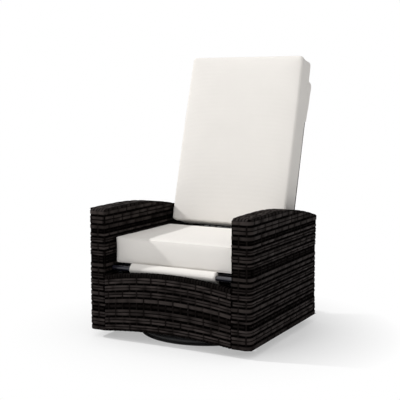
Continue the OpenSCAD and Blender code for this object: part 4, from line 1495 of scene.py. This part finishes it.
@dataclass
class FootrestPad:
    """The padded sling of the footrest, rolled round the front tube and sewn across at its bars."""

    name: str = "footrest_pad_soft"
    node: str = "footrest_pad"
    half_width: float = 203 * MM
    length: float = 196 * MM
    nose_r: float = 17.5 * MM
    tuck: float = 8 * MM
    taper: float = 18 * MM
    tube: tuple[float, float] = (-297.5 * MM, 293.5 * MM)
    slope: float = 55.0
    low: float = 10 * MM
    high: float = 12 * MM
    across: int = 48
    quilt: float = 2.2 * MM
    quilt_r: float = 26 * MM
    end_r: float = 4 * MM
    ripple: float = 0.9 * MM
    behind_tube: float = 20 * MM
    under_from: float = 26 * MM
    upper_to: float = 22 * MM
    tail_in: float = 8 * MM
    squeeze: float = 0.12

    def section(self) -> Array:
        """The sling's outline across the tube, in its own directions: back along it and out of its face."""
        turns = np.linspace(50, 310, 27)
        nose = arc(0.0, 0.0, self.nose_r + self.tuck * bell(turns - 128, 30.0), turns)
        tail = arc(self.length, (self.high - self.low) / 2, (self.high + self.low) / 2, np.linspace(-90, 90, 9))
        under = stacked(np.linspace(self.under_from, self.length - self.tail_in, 16), -self.low)
        x = np.linspace(self.length - self.tail_in, self.upper_to, 22)
        upper = stacked(x, self.high + self.quilt * self.fullness(x))
        return np.vstack([nose[:, :2], under, tail[:, :2], upper])

    def fullness(self, x: Array) -> Array:
        """Fullness between the sewn lines over the bars."""
        gap = np.min([np.abs(x - share * self.length) for share in (0.0, 0.48, 0.94)], axis=0)
        return np.minimum(1.0, gap / self.quilt_r) ** 0.5 - 0.4

    def build(self, finish: Skin) -> Piece:
        """Makes the sling and puts it on the footrest.

        Args:
            finish: The cloth's material.

        Returns:
            The pad.
        """
        outline = self.section()
        count = len(outline)
        piece = primitive(bpy.ops.mesh.primitive_cylinder_add, vertices=count, radius=1, depth=1, end_fill_type="NGON")
        with editing(piece, "EDGE") as mesh:
            pick_edges(piece, mesh, lambda e: abs(e.verts[0].co.z - e.verts[1].co.z) > 0.5)
            bpy.ops.mesh.subdivide(number_cuts=self.across - 1)
        flat = coordinates(piece)
        angle = np.arctan2(flat[:, 1], flat[:, 0])
        step = np.rint(angle / (2 * math.pi) * count).astype(int) % count
        share = flat[:, 2] * 2
        edge = np.clip((1 - np.abs(share)) * self.half_width / self.end_r, 0, 1)
        squeeze = 1 - self.squeeze + self.squeeze * np.sqrt(1 - (1 - edge) ** 2)
        centre_v = (self.high - self.low) / 2
        u = outline[step, 0]
        v = centre_v + (outline[step, 1] - centre_v) * squeeze
        v += self.ripple * noise_at(share * 11.0, u * 30.0, 3.3) * edge * (u > self.behind_tube)
        a = math.radians(self.slope)
        y = self.tube[0] + u * math.cos(a) + v * math.sin(a)
        z = self.tube[1] - u * math.sin(a) + v * math.cos(a)
        half = self.half_width - self.taper * np.clip(u / self.behind_tube, 0, 1)
        put_coordinates(piece, stacked(share * half, y, z))
        face_outwards(piece)
        modify(piece, "SUBSURF", levels=1, render_levels=1)
        piece.name = piece.data.name = self.name
        shade_by_angle(piece, 50)
        put_on(piece, Body.FOOTREST, finish, "cushion_fabric", self.node)
        return piece


# Dressing the frame's own nodes


@dataclass(frozen=True)
class Dress:
    """Gives the frame's own nodes their finishes."""

    finishes: dict[str, Skin]
    by_node: dict[str, Skin] = field(default_factory=dict)

    def put(self, frame: dict) -> None:
        """Assigns each node the finish of its material slot."""
        slots = {part["node"]: part["material_slot"] for part in frame["record"]["subparts"]}
        for node, obj in frame["nodes"].items():
            wear(obj, self.by_node.get(node, self.finishes[slots[node]]))
            obj.data.polygons.foreach_set("material_index", np.zeros(len(obj.data.polygons), int))


# Studio


@dataclass(frozen=True)
class Studio:
    """Floor, light and camera."""

    camera_place: Point = (1.7757, -3.3745, 1.0080)
    yaw: float = 28.208
    pitch: float = 6.676
    focal_px: float = 894.9
    frame_px: float = 400.0
    sensor: float = 36.0
    key_way: Point = (1.36, 0.36, -1.0)
    soft_lamps: tuple = (("front_lamp", (0.4, -3.3, 3.0), 2.7, 40.0), ("top_lamp", (0.0, 0.1, 3.4), 2.4, 14.0))
    lamps_face: Point = (0.0, 0.0, 0.5)
    even_light: float = 0.39
    floor_half: float = 9.0

    def light(self) -> None:
        """Sets a key light from the sitter's right, soft lamps in front and above, and an even surround."""
        key = self.lamp("key_light", "SUN", (0.0, 0.0, 0.0), self.key_way, 2.2)
        key.data.angle = math.radians(2.5)
        for name, place, size, watts in self.soft_lamps:
            lamp = self.lamp(name, "AREA", place, Vector(self.lamps_face) - Vector(place), watts)
            lamp.data.size = size
        self.surround(self.even_light)

    def lamp(self, name: str, kind: str, place: Point, way: Vector | Point, energy: float) -> Piece:
        """Returns a new lamp that shines one way."""
        bpy.ops.object.light_add(type=kind, location=place)
        lamp = bpy.context.object
        lamp.name = name
        lamp.rotation_euler = Vector(way).to_track_quat("-Z", "Y").to_euler()
        lamp.data.energy = energy
        return lamp

    def surround(self, strength: float) -> None:
        """Makes the world: even light, and white where the camera or a reflection looks."""
        mix = WorldMix("surround")
        camera, glossy, through = (
            mix.node("ShaderNodeLightPath", output=f"Is {kind} Ray") for kind in ("Camera", "Glossy", "Transmission")
        )
        lit, plain = (
            mix.node("ShaderNodeBackground", inputs={"Color": WHITE, "Strength": value}) for value in (strength, 1.0)
        )
        seen = camera.larger(glossy.larger(through))
        mix.show(mix.node("ShaderNodeMixShader", inputs={0: seen, 1: lit, 2: plain}))

    def floor(self) -> None:
        """Lays a pale floor that turns to plain white away from the chair; near the chair a painted glow lightens its
        shadow.
        """
        bpy.ops.mesh.primitive_plane_add(size=2 * self.floor_half, location=(0, 0, -0.0005))
        ground = bpy.context.object
        ground.name = "studio_floor"
        mix = Mix("studio_floor")
        away = mix.node("ShaderNodeVectorMath", {"operation": "LENGTH"}, {0: mix.place()}, output="Value")
        mix.set(base_color=shaded(WHITE, 0.93), roughness=0.9, specular_ior_level=0.1)
        camera = mix.node("ShaderNodeLightPath", output="Is Camera Ray")
        white = mix.node("ShaderNodeEmission", inputs={"Color": WHITE, "Strength": 1.0})
        # Painted light: seen by the camera, even the floor under the chair glows at 0.4 white, lightening the chair's
        # shadow.
        factor = ((0.4 + 0.6 * mix.ramp(away, 0.42, 0.85)) * camera).clamp()
        mix.show(mix.node("ShaderNodeMixShader", inputs={0: factor, 1: mix.surface, 2: white}))
        ground.data.materials.append(mix.material)

    def camera(self) -> None:
        """Stands the camera where the photograph was taken."""
        bpy.ops.object.camera_add(location=self.camera_place)
        camera = bpy.context.object
        camera.rotation_euler = (math.radians(90 - self.pitch), 0.0, math.radians(self.yaw))
        camera.data.sensor_width = self.sensor
        camera.data.lens = self.focal_px / self.frame_px * self.sensor
        camera.data.clip_end = 60.0
        bpy.context.scene.camera = camera


def main() -> None:
    """Builds the looks round the frame."""
    logging.basicConfig(level=logging.INFO, format="%(name)s %(message)s")
    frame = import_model()
    bpy.context.scene.view_settings.view_transform = "Standard"
    studio = Studio()
    studio.camera()

    strand = StrandFinish().make()
    cloth = ClothFinish("cushion_cloth").make()
    finishes = {
        "black_tube": CoatFinish("black_tube_coat", (0.006, 0.006, 0.012, 1.0), 0.3, coat=0.5).make(),
        "dark_plate": CoatFinish("dark_plate_coat", (0.018, 0.018, 0.02, 1.0), 0.38).make(),
        "inner_frame": CoatFinish("inner_frame_coat", (0.02, 0.02, 0.02, 1.0), 0.5).make(),
        "bare_steel": MetalFinish("zinc_plate", (0.55, 0.56, 0.58, 1.0), 0.3).make(),
        "bronze": MetalFinish("bearing_bronze", (0.42, 0.27, 0.11, 1.0), 0.35).make(),
        "plastic": PlasticFinish().make(),
        "webbing": WebbingFinish().make(),
        "weave": strand,
        "cushion_fabric": cloth,
    }
    by_node = {
        "base_ring": CoatFinish("floor_ring_coat", (0.006, 0.006, 0.007, 1.0), 0.5, coat=0.15).make(),
    }
    Dress(finishes, by_node).put(frame)

    WovenArm("arm_weave_left", 1).build(strand)
    WovenArm("arm_weave_right", -1).build(strand)
    WovenPanel("apron_weave", "woven_apron", top_drop=28 * MM, seed=5).build(strand)
    WovenPanel("skirt_weave", "woven_skirt", top_drop=0.0, seed=8).build(strand)
    lean = Lean()
    WovenBack(lean).build(strand)

    seat_low, seat_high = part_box("seat_cushion")
    seat_high.z += 7 * MM
    seat_size = tuple(seat_high - seat_low)
    Cushion(
        "seat_cushion_soft", "seat_cushion", Body.CHASSIS, seat_size, tuple((seat_low + seat_high) / 2),
        Matrix.Identity(4), thin=2, face=1, fill=0.9, crown=6 * MM, corner_r=11 * MM, draw=1.5 * MM, waist=1 * MM,
    ).build(cloth)
    back_size = (566 * MM, 117 * MM, 780 * MM)
    Cushion(
        "back_cushion_soft", "back_cushion", Body.BACK, back_size, (0.0, back_size[1] / 2, 4 * MM + back_size[2] / 2),
        lean.matrix, thin=1, face=-1, fill=0.85, corner_r=15 * MM, edge_r=12 * MM, waist=-4.5 * MM,
    ).build(cloth)
    BackPocket(lean).build(cloth)
    FootrestPad().build(cloth)

    studio.floor()
    studio.light()


if __name__ == "__main__":
    main()
